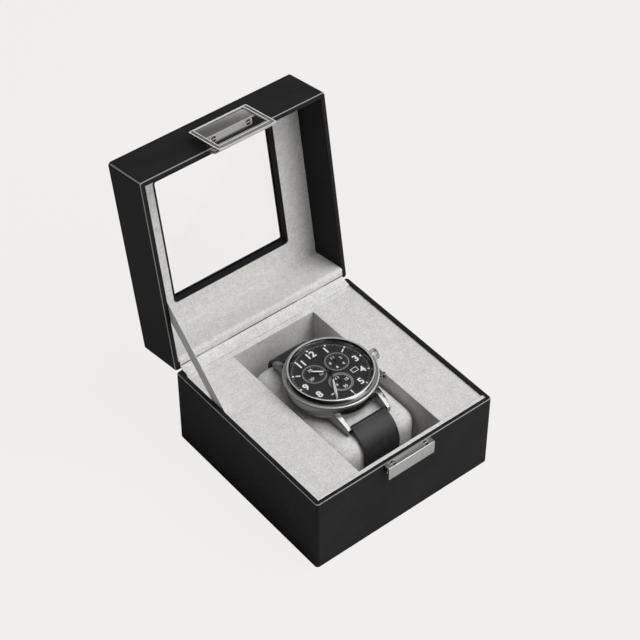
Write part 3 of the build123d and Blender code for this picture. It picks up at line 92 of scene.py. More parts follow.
camera_lens = 109.29  # mm, on a 36 mm sensor
camera_place = (-0.382341, -0.463123, 0.669091)
camera_right = (0.777162, -0.629300, -0.000156)
camera_up = (0.439808, 0.542969, 0.715370)
camera_back = (-0.450098, -0.556027, 0.698746)
camera_data = bpy.data.cameras.new("camera")
camera_data.lens = camera_lens
camera_data.clip_start = 0.01
camera = bpy.data.objects.new("camera", camera_data)
bpy.context.scene.collection.objects.link(camera)
turned = Matrix((camera_right, camera_up, camera_back)).transposed().to_4x4()
camera.matrix_world = Matrix.Translation(camera_place) @ turned
bpy.context.scene.camera = camera
bpy.context.scene.view_settings.view_transform = "Standard"

bpy.ops.mesh.primitive_plane_add(size=8.0)
floor = bpy.context.object
floor.name = "floor"
floor_material, tree, surface = new_material("white table top")
rays = add_node(tree, "LightPath")
lit = add_node(tree, "BsdfDiffuse", {"Color": linear("#E4E3E1")})
flat = add_node(tree, "Emission", {"Color": linear("#F3F1EF")})
toned = add_node(tree, "MixShader", {0: 0.94}, {1: lit.outputs[0], 2: flat.outputs[0]})
seen = add_node(tree, "Math", {"operation": "MAXIMUM"},
                {0: rays.outputs["Is Camera Ray"], 1: rays.outputs["Is Transmission Ray"]})
shown = add_node(tree, "MixShader", None, {0: seen.outputs[0], 1: lit.outputs[0], 2: toned.outputs[0]})
tree.links.new(shown.outputs[0], surface)
floor.data.materials.append(floor_material)

world = bpy.data.worlds.new("studio")
bpy.context.scene.world = world
world.use_nodes = True
# A white cove stands round the table and fades to the left. Its ceiling is lit, with dark in between.
way = add_node(world.node_tree, "TexCoord")
axes = add_node(world.node_tree, "SeparateXYZ", None, {"Vector": way.outputs["Generated"]})
cove = add_node(world.node_tree, "ValToRGB", None, {"Fac": axes.outputs["Z"]})
for rise, level in ((0.24, 1.0), (0.34, 0.05), (0.8, 0.05), (0.9, 0.55)):
    cove.color_ramp.elements.new(rise).color = (level, level, level, 1.0)
cove.color_ramp.elements[0].color = (1.0, 1.0, 1.0, 1.0)
side = add_node(world.node_tree, "MapRange", {"From Min": -0.7, "From Max": 0.3, "To Min": 0.1},
                {"Value": axes.outputs["X"]})
world.node_tree.links.new(cove.outputs["Color"], world.node_tree.nodes["Background"].inputs["Color"])
world.node_tree.links.new(side.outputs["Result"], world.node_tree.nodes["Background"].inputs["Strength"])


def add_lamp(name, place, size, power):
    """A square soft lamp that faces the open box."""
    lamp = bpy.data.lights.new(name, "AREA")
    lamp.size = size
    lamp.energy = power
    holder = bpy.data.objects.new(name, lamp)
    bpy.context.scene.collection.objects.link(holder)
    away = Vector(place) - Vector((0, 0, 0.05))
    holder.matrix_world = Matrix.Translation(place) @ away.to_track_quat("Z", "Y").to_matrix().to_4x4()


add_lamp("key lamp", (0.45, -0.55, 1.3), size=1.2, power=16.5)
add_lamp("front lamp", (0.55, -1.0, 0.75), size=0.7, power=3.0)


# ---------------------------------------------------------------- BOARDS AND THEIR LEATHERETTE SKIN
# The tray and the lid are fibreboard, glued up and covered with black leatherette that is turned in over
# the rims and glued. The window's reveal is a frame covered with the same sheet.
def dress(material, *names):
    """Give CAD nodes a material."""
    for name in names:
        nodes[name].data.materials.clear()
        nodes[name].data.materials.append(material)


pebble = 0.0009  # m, drawn about twice as coarse as it is, so that it shows


def new_leatherette(name, faces=(), shine=0.08, roughness=(0.5, 0.62)):
    """Polyurethane skin on cloth, calendered: a low gloss that follows fine pebbles, and clouds 14 mm wide.
    A pale grey is painted where it turns between the flat faces, given by the ways that they look: a painted
    highlight along the edges."""
    material, tree, surface = new_material(name)
    place = add_node(tree, "TexCoord")
    grain = add_node(tree, "TexVoronoi", {"feature": "SMOOTH_F1", "Scale": 1 / pebble, "Smoothness": 0.5},
                     {"Vector": place.outputs["Object"]})
    haze = add_node(tree, "TexNoise", {"Scale": 70.0, "Detail": 5.0}, {"Vector": place.outputs["Object"]})
    relief = add_node(tree, "Bump", {"Strength": 0.3, "Distance": 0.0001, "invert": True},
                      {"Height": grain.outputs["Distance"]})
    tone = add_node(tree, "ValToRGB", {"stops": ((0.3, "#1C1C1D"), (0.7, "#252526"))},
                    {"Fac": haze.outputs["Fac"]})
    gloss = add_node(tree, "MapRange", {"To Min": roughness[0], "To Max": roughness[1]},
                    {"Value": haze.outputs["Fac"]})
    colour = tone.outputs["Color"]
    flatness = None
    for face in faces:
        facing = add_node(tree, "VectorMath", {"operation": "DOT_PRODUCT", 1: face},
                          {0: place.outputs["Normal"]})
        size = add_node(tree, "Math", {"operation": "ABSOLUTE"}, {0: facing.outputs["Value"]})
        if flatness:
            size = add_node(tree, "Math", {"operation": "MAXIMUM"},
                            {0: flatness.outputs[0], 1: size.outputs[0]})
        flatness = size
    if flatness:
        # A pale grey painted along the turned edges stands in for their highlight.
        edge = add_node(tree, "MapRange", {"From Min": 0.9, "From Max": 0.8}, {"Value": flatness.outputs[0]})
        painted_highlight = add_node(tree, "Mix", {"data_type": "RGBA", 7: linear("#9C9C9B")},
                          {0: edge.outputs["Result"], 6: tone.outputs["Color"]})
        colour = painted_highlight.outputs[2]
    shader = add_node(tree, "BsdfPrincipled", {"Specular IOR Level": shine},
                      {"Base Color": colour, "Roughness": gloss.outputs["Result"],
                       "Normal": relief.outputs["Normal"]})
    tree.links.new(shader.outputs[0], surface)
    return material


leatherette = new_leatherette("black calendered leatherette")
stretched_leatherette = new_leatherette("leatherette stretched over foam", (), 0.45, (0.32, 0.44))
dress(leatherette, "window_bezel")
tray_faces = ((0.0, 0.0, 1.0), (1.0, 0.0, 0.0), (0.0, 1.0, 0.0), (0.707, 0.707, 0.0), (0.707, -0.707, 0.0))
lid_faces = ((1.0, 0.0, 0.0), (0.0, 0.986, -0.167), (0.0, -0.167, -0.986))  # as the lid stands open
# The tray and the lid get a painted highlight along their edges.
dress(new_leatherette("leatherette with painted edge highlight on the tray", tray_faces), "base_wrap")
dress(new_leatherette("leatherette with painted edge highlight on the lid", lid_faces), "lid_wrap")

# Medium-density fibreboard: matt, light brown, with a faint fleck of 0.7 mm.
fibreboard, tree, surface = new_material("sanded fibreboard")
place = add_node(tree, "TexCoord")
fleck = add_node(tree, "TexNoise", {"Scale": 1400.0, "Detail": 4.0}, {"Vector": place.outputs["Object"]})
tone = add_node(tree, "ValToRGB", {"stops": ((0.0, "#84694A"), (1.0, "#B09673"))},
                {"Fac": fleck.outputs["Fac"]})
shader = add_node(tree, "BsdfPrincipled", {"Roughness": 0.9}, {"Base Color": tone.outputs["Color"]})
tree.links.new(shader.outputs[0], surface)
dress(fibreboard, "base_core", "lid_core")

# Non-woven black felt under the base, pressed flat: no gloss, fibres of about 0.4 mm lying every way.
felt, tree, surface = new_material("pressed black felt")
place = add_node(tree, "TexCoord")
fibres = add_node(tree, "TexNoise", {"Scale": 2600.0, "Detail": 6.0, "Roughness": 0.7},
                  {"Vector": place.outputs["Object"]})
tone = add_node(tree, "ValToRGB", {"stops": ((0.0, "#0E0E0F"), (1.0, "#2A2A2B"))},
                {"Fac": fibres.outputs["Fac"]})
relief = add_node(tree, "Bump", {"Strength": 0.5, "Distance": 0.0002}, {"Height": fibres.outputs["Fac"]})
shader = add_node(tree, "BsdfPrincipled", {"Roughness": 1.0, "Specular IOR Level": 0.1, "Sheen Weight": 0.1},
                  {"Base Color": tone.outputs["Color"], "Normal": relief.outputs["Normal"]})
tree.links.new(shader.outputs[0], surface)
dress(felt, "base_bottom")

# ---------------------------------------------------------------- SUEDE LININGS
# Thin boards covered with light grey suede cloth: the front strip, the two side shelves, the back strip,
# the bay's floor, the lid's frame and the board up the lid's back wall. All are glued in.
# Flocked microfibre: its fibres scatter the light, so it is matt with a pale sheen. The nap lies in soft
# blotches 4 mm across, and the fibres are drawn 1 mm apart, coarser than they are, so that they show.
suede, tree, surface = new_material("light grey microsuede")
place = add_node(tree, "TexCoord")
nap = add_node(tree, "TexNoise", {"Scale": 260.0, "Detail": 5.0, "Roughness": 0.65},
               {"Vector": place.outputs["Object"]})
fibres = add_node(tree, "TexNoise", {"Scale": 1050.0, "Detail": 3.0, "Roughness": 0.7},
                  {"Vector": place.outputs["Object"]})
both = add_node(tree, "Math", {"operation": "MULTIPLY_ADD", 1: 0.35},
                {0: nap.outputs["Fac"]})
share = add_node(tree, "Math", {"operation": "MULTIPLY", 1: 0.65}, {0: fibres.outputs["Fac"]})
tree.links.new(share.outputs[0], both.inputs[2])
tone = add_node(tree, "ValToRGB", {"stops": ((0.36, "#CAC9C7"), (0.62, "#EAE9E7"))},
                {"Fac": both.outputs[0]})
relief = add_node(tree, "Bump", {"Strength": 0.5, "Distance": 0.0002}, {"Height": both.outputs[0]})
shader = add_node(tree, "BsdfPrincipled",
                  {"Roughness": 0.95, "Specular IOR Level": 0.15, "Sheen Weight": 0.15,
                   "Sheen Roughness": 0.4},
                  {"Base Color": tone.outputs["Color"], "Normal": relief.outputs["Normal"]})
tree.links.new(shader.outputs[0], surface)
dress(suede, "front_lining", "shelf_left", "shelf_right", "shelf_back", "well_floor")
dress(suede, "lid_lining", "lid_back_lining")

# ---------------------------------------------------------------- PADDED ROLL ROUND THE WINDOW
# A foam bead under one sheet of leatherette, stitched down along both its edges, so that it swells between
# them and puckers at its four mitred corners. It lies on the lid's flat top.
def select_only(piece):
    """Deselect everything and make one piece active."""
    bpy.ops.object.select_all(action="DESELECT")
    piece.select_set(True)
    bpy.context.view_layer.objects.active = piece


def take(name):
    """Name the piece that was just added, and return it as the only selected one."""
    piece = bpy.context.object
    piece.name = name
    select_only(piece)
    return piece


def choose_faces(piece, test):
    """In edit mode, select only the faces whose middle point passes a test."""
    bpy.ops.mesh.select_all(action="DESELECT")
    shape = bmesh.from_edit_mesh(piece.data)
    for face in shape.faces:
        if test(face.calc_center_median()):
            face.select_set(True)
    shape.select_flush_mode()
    bmesh.update_edit_mesh(piece.data)


def apply_modifier(piece, kind, **settings):
    """Add a modifier, set it and apply it."""
    select_only(piece)
    modifier = piece.modifiers.new(kind.lower(), kind)
    for name, value in settings.items():
        setattr(modifier, name, value)
    bpy.ops.object.modifier_apply(modifier=modifier.name)


def settle(piece, material, body=None, turn=None, smooth=35.0):
    """Finish a piece: put its place into its mesh, give it its finish, and let it ride on its body."""
    select_only(piece)
    if turn is not None:
        piece.data.transform(turn)
    bpy.ops.object.transform_apply(location=True, rotation=True, scale=True)
    bpy.ops.object.shade_smooth_by_angle(angle=radians(smooth))
    if material is not None:
        piece.data.materials.clear()
        piece.data.materials.append(material)
    if body:
        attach(piece, body)


lid_hinge = joints["lid_hinge"]
lid_open = radians(-lid_hinge["range_deg"][0])
hinge_line = Vector(lid_hinge["pos_m"])
lid_place = Matrix.Translation(hinge_line) @ Matrix.Rotation(-lid_open, 4, "X")  # from shut, hinge at 0

lid_top = 0.0251  # above the hinge line
lid_middle = -0.0505
roll_outer = (0.0465, 0.0470)  # half width and half depth
roll_inner = (0.0350, 0.0355)
roll_rise = 0.0022
roll_sheet = 0.0003
roll_cell = 0.0005
seam_slope, crown_flatness = 2.6, 0.62  # how steeply it leaves its seams, and how full it is between them
crease_depth, crease_reach = 0.00022, 0.0011  # at the mitres
pucker_depth, puckers = 0.00016, 240  # puckers and lumps are counted by the metre
lump_depth, lumps_along = 0.00022, 70
bpy.ops.mesh.primitive_grid_add(x_subdivisions=round(2 * roll_outer[0] / roll_cell),
                                y_subdivisions=round(2 * roll_outer[1] / roll_cell), size=2.0)
roll = take("padded_roll")
bpy.ops.transform.resize(value=(roll_outer[0], roll_outer[1], 1.0))
bpy.ops.object.transform_apply(scale=True)
bpy.ops.object.mode_set(mode="EDIT")
choose_faces(roll, lambda middle: abs(middle.x) < roll_inner[0] and abs(middle.y) < roll_inner[1])
bpy.ops.mesh.delete(type="FACE")
bpy.ops.object.mode_set(mode="OBJECT")
apply_modifier(roll, "SOLIDIFY", thickness=roll_sheet, offset=1.0)
for vertex in roll.data.vertices:
    x, y, z = vertex.co
    outside = min(roll_outer[0] - abs(x), roll_outer[1] - abs(y))
    past = (max(abs(x) - roll_inner[0], 0.0), max(abs(y) - roll_inner[1], 0.0))
    inside = hypot(*past)
    across = outside / max(outside + inside, 1e-9)
    if z > roll_sheet / 2:
        swell = max(1 - abs(2 * across - 1) ** seam_slope, 0.0) ** crown_flatness
        mitre = abs(past[0] - past[1]) if min(past) > 0 else 1.0
        crease = crease_depth * max(1 - mitre / crease_reach, 0.0) ** 2
        along = y if past[0] > past[1] else x
        pucker = noise.noise(Vector((along * puckers, 3.7 * across, 1.3))) * pucker_depth
        lump = noise.noise(Vector((x * lumps_along, y * lumps_along, 5.0))) * lump_depth
        vertex.co.z = roll_sheet + swell * (roll_rise + lump + pucker) - swell * crease
for vertex in roll.data.vertices:
    vertex.co += Vector((0, lid_middle, lid_top))
settle(roll, stretched_leatherette, "lid", lid_place, 80.0)
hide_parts("lid_pad")

# ---------------------------------------------------------------- GLASS
# A flat pane drops into its step from above, under the skin, and the watch has its own chamfered glass.
# Lamps reach what is behind both.
# Float glass with a coat against reflections: clear and smooth, and only a trace of it shows.
coat_share = 0.97
clear_glass, tree, surface = new_material("coated clear glass")
clear = add_node(tree, "BsdfTransparent")
shader = add_node(tree, "BsdfPrincipled",
                  {"Base Color": linear("#FFFFFF"), "Roughness": 0.0, "Transmission Weight": 1.0,
                   "IOR": 1.45})
coated = add_node(tree, "MixShader", {0: coat_share}, {1: shader.outputs[0], 2: clear.outputs[0]})
tree.links.new(coated.outputs[0], surface)
dress(clear_glass, "window_pane", "watch_crystal")
nodes["window_pane"].visible_shadow = False
nodes["watch_crystal"].visible_shadow = False

# ---------------------------------------------------------------- HINGES
# Two small butt hinges of zinc-plated steel are let into the back walls' rims and screwed down. The suede
# strip hides them from inside.
# Zinc plate: greyish, half matt, with a faint cloud of 2 mm.
zinc, tree, surface = new_material("zinc-plated steel")
place = add_node(tree, "TexCoord")
cloud = add_node(tree, "TexNoise", {"Scale": 500.0, "Detail": 3.0}, {"Vector": place.outputs["Object"]})
gloss = add_node(tree, "MapRange", {"To Min": 0.3, "To Max": 0.5}, {"Value": cloud.outputs["Fac"]})
shader = add_node(tree, "BsdfPrincipled", {"Base Color": linear("#A5A6A6"), "Metallic": 1.0},
                  {"Roughness": gloss.outputs["Result"]})
tree.links.new(shader.outputs[0], surface)
dress(zinc, "hinge_leaves_base", "hinge_leaves_lid", "hinge_pins", "hinge_screws_base", "hinge_screws_lid")

# ---------------------------------------------------------------- SUEDE STRIP OVER THE HINGE LINE
# One strip of the same suede, glued down behind the back shelf and on the lid's back board. Between them it
# lies loose over the rims and the hinge barrels, with a soft fold at each edge. It is laid as it lies with
# the lid open.
def bend(middle, radius, start, end, steps=10):
    """Points (y, z) of an arc about a middle, from one angle to another, in degrees from +y towards +z."""
    turns = [radians(start + (end - start) * step / steps) for step in range(steps + 1)]
    return [(middle[0] + radius * cos(turn), middle[1] + radius * sin(turn)) for turn in turns]


def walk(route, share):
    """The (y, z) place and the direction at a share of a route's whole length."""
    legs = [hypot(b[0] - a[0], b[1] - a[1]) for a, b in zip(route, route[1:])]
    left = share * sum(legs)
    for (a, b), leg in zip(zip(route, route[1:]), legs):
        if left <= leg or b is route[-1]:
            part = left / leg
            spot = Vector((a[0] + (b[0] - a[0]) * part, a[1] + (b[1] - a[1]) * part))
            return spot, atan2(b[1] - a[1], b[0] - a[0])
        left -= leg


def route_length(route):
    return sum(hypot(b[0] - a[0], b[1] - a[1]) for a, b in zip(route, route[1:]))


def lay_sheet(name, route, width, cells_along, cells_across):
    """A flat grid laid along a route in the y-z plane: x runs across it. Its object stays at the origin."""
    bpy.ops.mesh.primitive_grid_add(x_subdivisions=cells_across, y_subdivisions=cells_along, size=2.0)
    sheet = take(name)
    for vertex in sheet.data.vertices:
        spot, heading = walk(route, (vertex.co.y + 1) / 2)
        vertex.co = Vector((vertex.co.x * width / 2, spot.x, spot.y))
    return sheet


def from_lid(depth, height):
    """The (y, z) of a point that is given by its depth and height from the hinge on the shut lid."""
    spot = lid_place @ Vector((0, depth, height))
    return (spot.y, spot.z)


strip_thickness = 0.0005
strip_width = 0.0942
strip_half = strip_thickness / 2
barrel = 0.0013 + strip_half  # radius of its bend over the hinge barrels
barrel_from, barrel_to = 158, 50
tray_back = 0.0460
foot_low, foot_high = 0.0399, 0.0416  # glued behind the shelf between these heights
foot_round = 0.0004
lid_board = 0.0060  # from the hinge line to the face of the lid's back board
board_rise = 0.0001  # from the hinge line to the board's lower edge, on the shut lid
board_round = 0.0012
lid_heading = 180 - degrees(lid_open)
strip_route = [(tray_back - strip_half, foot_low), (tray_back - strip_half, foot_high)]
strip_route += bend((tray_back + foot_round, foot_high), foot_round + strip_half, 180, 90, 6)
strip_route += bend((hinge_line.y, hinge_line.z), barrel, barrel_from, barrel_to, 10)
strip_route += [from_lid(depth, board_rise - strip_half) for depth in (-0.0030, -0.0041)]
board_edge = from_lid(board_round - lid_board, board_rise + board_round)
strip_route += bend(board_edge, board_round + strip_half, lid_heading + 90, lid_heading, 6)
strip_route += [from_lid(-lid_board - strip_half, height) for height in (0.0035, 0.0052)]
strip = lay_sheet("hinge_strip_cloth", strip_route, strip_width, 70, 150)
ripple_depth = 0.00009
for vertex in strip.data.vertices:
    x, y, z = vertex.co
    vertex.co.z += noise.noise(Vector((x * 60, y * 500, z * 500))) * ripple_depth
apply_modifier(strip, "SOLIDIFY", thickness=strip_thickness * 0.8, offset=0.0)
settle(strip, suede, smooth=80.0)
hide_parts("hinge_strip")
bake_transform(strip)

# ---------------------------------------------------------------- RIBBON STAY
# A woven ribbon on the left stops the lid: its ends are glued under the shelf's edge and inside the lid's
# left wall. It is laid taut, as it is when the lid is open.
# Satin-woven polyester: smooth across, with fine ribs and a thicker selvedge.
rib_scale = 20.0  # 64 ribs along the ribbon, one a millimetre, drawn coarser than they are
satin, tree, surface = new_material("grey woven satin ribbon")
place = add_node(tree, "UVMap")
lines = add_node(tree, "TexWave", {"bands_direction": "Y", "Scale": rib_scale, "Distortion": 0.6},
                 {"Vector": place.outputs["UV"]})
shade = add_node(tree, "TexNoise", {"Scale": 30.0, "Detail": 4.0}, {"Vector": place.outputs["UV"]})
tone = add_node(tree, "ValToRGB", {"stops": ((0.0, "#C6C6C4"), (1.0, "#DCDCDA"))},
                {"Fac": shade.outputs["Fac"]})
relief = add_node(tree, "Bump", {"Strength": 0.3, "Distance": 0.0001}, {"Height": lines.outputs["Fac"]})
shader = add_node(tree, "BsdfPrincipled", {"Roughness": 0.55, "Sheen Weight": 0.2},
                  {"Base Color": tone.outputs["Color"], "Normal": relief.outputs["Normal"]})
tree.links.new(shader.outputs[0], surface)

ribbon_ends = ((0.0210, 0.0410), (0.0567, 0.0746))  # (y, z) at the shelf and at the lid's rim
ribbon_width = 0.0064
ribbon_side = -0.0474  # x of its middle, beside the wall
ribbon_thickness = 0.00030
ribbon_selvedge = 0.00005
glued_foot, glued_top = 0.0060, 0.0080  # lengths that are glued down
along = (Vector(ribbon_ends[1]) - Vector(ribbon_ends[0])).normalized()
across = Vector((-along.y, along.x))
ribbon_foot = Vector(ribbon_ends[0]) - along * glued_foot
ribbon_run = (Vector(ribbon_ends[1]) - Vector(ribbon_ends[0])).length + glued_foot + glued_top
bpy.ops.mesh.primitive_grid_add(x_subdivisions=12, y_subdivisions=90, size=1.0)
ribbon = take("ribbon_stay")
for vertex in ribbon.data.vertices:
    spot = ribbon_foot + along * (vertex.co.y + 0.5) * ribbon_run + across * vertex.co.x * ribbon_width
    selvedge = ribbon_selvedge if abs(vertex.co.x) > 0.42 else 0.0
    vertex.co = Vector((ribbon_side + selvedge, spot.x, spot.y))
apply_modifier(ribbon, "SOLIDIFY", thickness=ribbon_thickness, offset=0.0)
settle(ribbon, satin, smooth=60.0)
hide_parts("ribbon")
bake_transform(ribbon)

# ---------------------------------------------------------------- CLASP
# Nickel-plated brass pressings: an angle plate over the tray's rim, one under the lid's rim with its end
# rolled round a pin, and the ring that swings on the pin and snaps over the lower plate. Each plate is
# screwed to a riveted backplate.
# Nickel over brass, brushed along the plates. Its eased edges take the paler finish below, a painted
# highlight.
brush_width = 0.00022  # m, drawn about five times as coarse as the real scratches
nickel, tree, surface = new_material("brushed nickel plate")
place = add_node(tree, "TexCoord")
drawn = add_node(tree, "Mapping", {"Scale": (60.0, 1 / brush_width, 1 / brush_width)},
                 {"Vector": place.outputs["Object"]})
brush = add_node(tree, "TexNoise", {"Scale": 1.0, "Detail": 3.0}, {"Vector": drawn.outputs["Vector"]})
gloss = add_node(tree, "MapRange", {"To Min": 0.34, "To Max": 0.46}, {"Value": brush.outputs["Fac"]})
tone = add_node(tree, "ValToRGB", {"stops": ((0.0, "#B4B3B0"), (1.0, "#C8C7C4"))},
                {"Fac": brush.outputs["Fac"]})
relief = add_node(tree, "Bump", {"Strength": 0.12, "Distance": 0.00005}, {"Height": brush.outputs["Fac"]})
shader = add_node(tree, "BsdfPrincipled", {"Metallic": 1.0},
                  {"Base Color": tone.outputs["Color"], "Roughness": gloss.outputs["Result"],
                   "Normal": relief.outputs["Normal"]})
tree.links.new(shader.outputs[0], surface)

# The eased edges take a pale, partly diffuse nickel whose colour paints a highlight along them, whatever the
# light. Its gloss varies over about 1 mm.
painted_highlight_nickel, tree, surface = new_material("nickel edge with painted highlight")
place = add_node(tree, "TexCoord")
gloss_cloud = add_node(tree, "TexNoise", {"Scale": 900.0, "Detail": 2.0}, {"Vector": place.outputs["Object"]})
gloss = add_node(tree, "MapRange", {"To Min": 0.36, "To Max": 0.5}, {"Value": gloss_cloud.outputs["Fac"]})
shader = add_node(tree, "BsdfPrincipled", {"Metallic": 0.3, "Base Color": linear("#F4F3F0")},
                  {"Roughness": gloss.outputs["Result"]})
tree.links.new(shader.outputs[0], surface)

# Screws of blued steel: dark, with a soft gloss that varies over 0.8 mm.
blued, tree, surface = new_material("blued steel screw")
place = add_node(tree, "TexCoord")
gloss_cloud = add_node(tree, "TexNoise", {"Scale": 1200.0, "Detail": 2.0}, {"Vector": place.outputs["Object"]})
gloss = add_node(tree, "MapRange", {"To Min": 0.4, "To Max": 0.55}, {"Value": gloss_cloud.outputs["Fac"]})
shader = add_node(tree, "BsdfPrincipled", {"Metallic": 1.0, "Base Color": linear("#4A4A4B")},
                  {"Roughness": gloss.outputs["Result"]})
tree.links.new(shader.outputs[0], surface)


def solid_copy(node, name):
    """A copy of a CAD node's mesh as a piece that replaces it, its loose triangles merged into faces."""
    piece = bpy.data.objects.new(name, nodes[node].data.copy())
    bpy.context.scene.collection.objects.link(piece)
    select_only(piece)
    bpy.ops.mesh.customdata_custom_splitnormals_clear()
    bpy.ops.object.mode_set(mode="EDIT")
    bpy.ops.mesh.select_all(action="SELECT")
    bpy.ops.mesh.remove_doubles(threshold=0.000001)
    bpy.ops.mesh.dissolve_limited(angle_limit=radians(0.4))
    bpy.ops.object.mode_set(mode="OBJECT")
    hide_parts(node)
    return piece


def eased_copy(node, name, width, body, finishes, sharp=40.0, segments=2):
    """A copy of a CAD node with its sharp edges eased. The easing takes the second finish."""
    piece = solid_copy(node, name)
    piece.data.materials.clear()
    for finish in finishes:
        piece.data.materials.append(finish)
    apply_modifier(piece, "BEVEL", width=width, segments=segments, limit_method="ANGLE",
                   angle_limit=radians(sharp), material=len(finishes) - 1)
    settle(piece, None, body, smooth=30.0)
    return piece


# The second finish of each pair paints a highlight along the eased edges.
clasp_finish = (nickel, painted_highlight_nickel)
screw_finish = (blued, painted_highlight_nickel)
plate_ease, screw_ease, ring_ease = 0.00034, 0.00022, 0.00012
eased_copy("keeper_plate", "keeper_plate_front", plate_ease, "base", clasp_finish)
eased_copy("hasp_cover", "hasp_cover_front", plate_ease, "lid", clasp_finish)
ring = eased_copy("hasp_ring", "hasp_ring_frame", ring_ease, "ring", clasp_finish)
level_faces = [face for face in ring.data.polygons if face.normal.z > 0.9]
ring_way = max(level_faces, key=lambda face: face.area).normal.copy()
ring_front = max(vertex.co.dot(ring_way) for vertex in ring.data.vertices)
ridge_depth = 0.0001
for face in ring.data.polygons:
    if face.normal.dot(ring_way) > 0.999 and face.center.dot(ring_way) > ring_front - ridge_depth:
        face.material_index = 1  # the ridges round the frame get the painted highlight of its edges
eased_copy("keeper_screws", "keeper_screw_heads", screw_ease, "base", screw_finish)
eased_copy("hasp_screws", "hasp_screw_heads", screw_ease, "lid", screw_finish)
dress(nickel, "hasp_pin")
dress(zinc, "keeper_backplate", "hasp_backplate", "keeper_rivets", "hasp_rivets")

# ---------------------------------------------------------------- CUSHION
# A foam block in a sewn suede cover, a little shorter than the bay. The closed strap goes round it and
# bites into its front and back edges, and the cover swells on both sides of the strap.
cushion_size = (0.0442, 0.0670, 0.0256)  # before it swells
cushion_middle = 0.02425
cushion_bevel = 0.0068
swell_cap = 0.0012
strap_half = 0.0010
strap_clear = 0.0003
front_arc = ((-0.02242, 0.0280), 0.01198)  # centre and radius of the strap's turns over the cushion
back_arc = ((0.02584, 0.0314), 0.00856)
low_front_arc = ((-0.0262, 0.01495), 0.0082)
low_back_arc = ((0.0284, 0.01495), 0.0060)
strap_side = 0.0344
bite_half, bite_slope = 0.0125, 0.0022  # half the width of the bite, and of each of its slopes
wrinkle_depth, wrinkles = 0.00022, 150
cushion_cell = 0.0019
bpy.ops.mesh.primitive_cube_add(size=1.0, location=(0, 0, cushion_middle))
cushion = take("cushion_pad")
cushion.scale = cushion_size
bpy.ops.object.transform_apply(location=True, scale=True)
apply_modifier(cushion, "BEVEL", width=cushion_bevel, segments=6, limit_method="NONE")
apply_modifier(cushion, "REMESH", mode="VOXEL", voxel_size=cushion_cell)
bpy.context.scene.frame_start = 1
bpy.context.scene.frame_end = 20
cloth = cushion.modifiers.new("cover", "CLOTH")
cloth.settings.use_pressure = True
cloth.settings.uniform_pressure_force = 4.0
cloth.settings.effector_weights.gravity = 0.0
cloth.settings.quality = 6
cloth.settings.tension_stiffness = 40.0
cloth.settings.compression_stiffness = 40.0
cloth.settings.bending_stiffness = 2.0
for step in range(1, 21):
    bpy.context.scene.frame_set(step)
swollen = cushion.evaluated_get(bpy.context.evaluated_depsgraph_get()).to_mesh()
places = [vertex.co.copy() for vertex in swollen.vertices]
cushion.modifiers.remove(cloth)
bpy.context.scene.frame_set(1)
for vertex, place in zip(cushion.data.vertices, places):
    step = place - vertex.co
    vertex.co += step * min(1.0, swell_cap / max(step.length, 1e-9))
apply_modifier(cushion, "SUBSURF", levels=1, render_levels=1)


def pull_in(y, z, middle, radius, share):
    """Draw a point inside the strap's turn round a middle, by a share of the way."""
    inside = radius - strap_half - strap_clear
    reach = hypot(y - middle[0], z - middle[1])
    if reach <= inside:
        return y, z
    shrink = 1 + (inside / reach - 1) * share
    return middle[0] + (y - middle[0]) * shrink, middle[1] + (z - middle[1]) * shrink


for vertex in cushion.data.vertices:
    x, y, z = vertex.co
    bite = min(max((bite_half - abs(x)) / bite_slope, 0.0), 1.0)
    bite = bite * bite * (3 - 2 * bite)
    if bite == 0:
        continue
    for side, high_turn, low_turn in ((-1, front_arc, low_front_arc), (1, back_arc, low_back_arc)):
        if side * y > side * high_turn[0][0] and z > high_turn[0][1]:
            y, z = pull_in(y, z, *high_turn, bite)
        elif side * y > side * low_turn[0][0] and z < low_turn[0][1]:
            y, z = pull_in(y, z, *low_turn, bite)
        elif side * y > strap_side - strap_half - strap_clear:
            y += (side * (strap_side - strap_half - strap_clear) - y) * bite
    vertex.co = Vector((x, y, z))
for vertex in cushion.data.vertices:
    vertex.co += vertex.normal * noise.noise(vertex.co * wrinkles) * wrinkle_depth
settle(cushion, suede, "cushion", smooth=80.0)
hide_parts("cushion")

# ---------------------------------------------------------------- WATCH CASE
# Stainless steel, turned and milled, then polished all over: the middle with four curved lugs, the domed
# bezel that is pressed on, the snap back, and the crown and pushers in their tubes.
# Polished steel with a trace of buffing, 3 mm wide: it takes the dark of the box round it. Its eased edges
# take the pale nickel finish, a painted highlight.
steel, tree, surface = new_material("polished stainless steel")
place = add_node(tree, "TexCoord")
buff = add_node(tree, "TexNoise", {"Scale": 300.0, "Detail": 1.0}, {"Vector": place.outputs["Object"]})
gloss = add_node(tree, "MapRange", {"To Min": 0.17, "To Max": 0.23}, {"Value": buff.outputs["Fac"]})
shader = add_node(tree, "BsdfPrincipled", {"Metallic": 1.0, "Base Color": linear("#828281")},
                  {"Roughness": gloss.outputs["Result"]})
tree.links.new(shader.outputs[0], surface)
dress(steel, "watch_back", "watch_flange", "crown_stem", "spring_bars")
for node, name, width, body, sharp in (  # the width of the easing, and the least angle of an eased edge
    ("watch_bezel", "watch_bezel_ring", 0.00016, "cushion", 25.0),
    ("watch_case", "watch_case_middle", 0.00026, "cushion", 32.0),
    ("crown", "crown_fluted", 0.00012, "crown", 50.0),
    ("pusher_high", "pusher_high_button", 0.00012, "pusher_high", 50.0),
    ("pusher_low", "pusher_low_button", 0.00012, "pusher_low", 50.0),
):
    eased_copy(node, name, width, body, (steel, painted_highlight_nickel), sharp)

# ---------------------------------------------------------------- DIAL AND ITS PRINT
# A brass plate with matt black lacquer and three sunk counters. Numerals, bars, tracks and counter rings
# are pad printed in white and grey, and stand a few hundredths proud. The date opening has a thin printed
# frame.
watch_middle = Vector((0, 0.0015, 0))
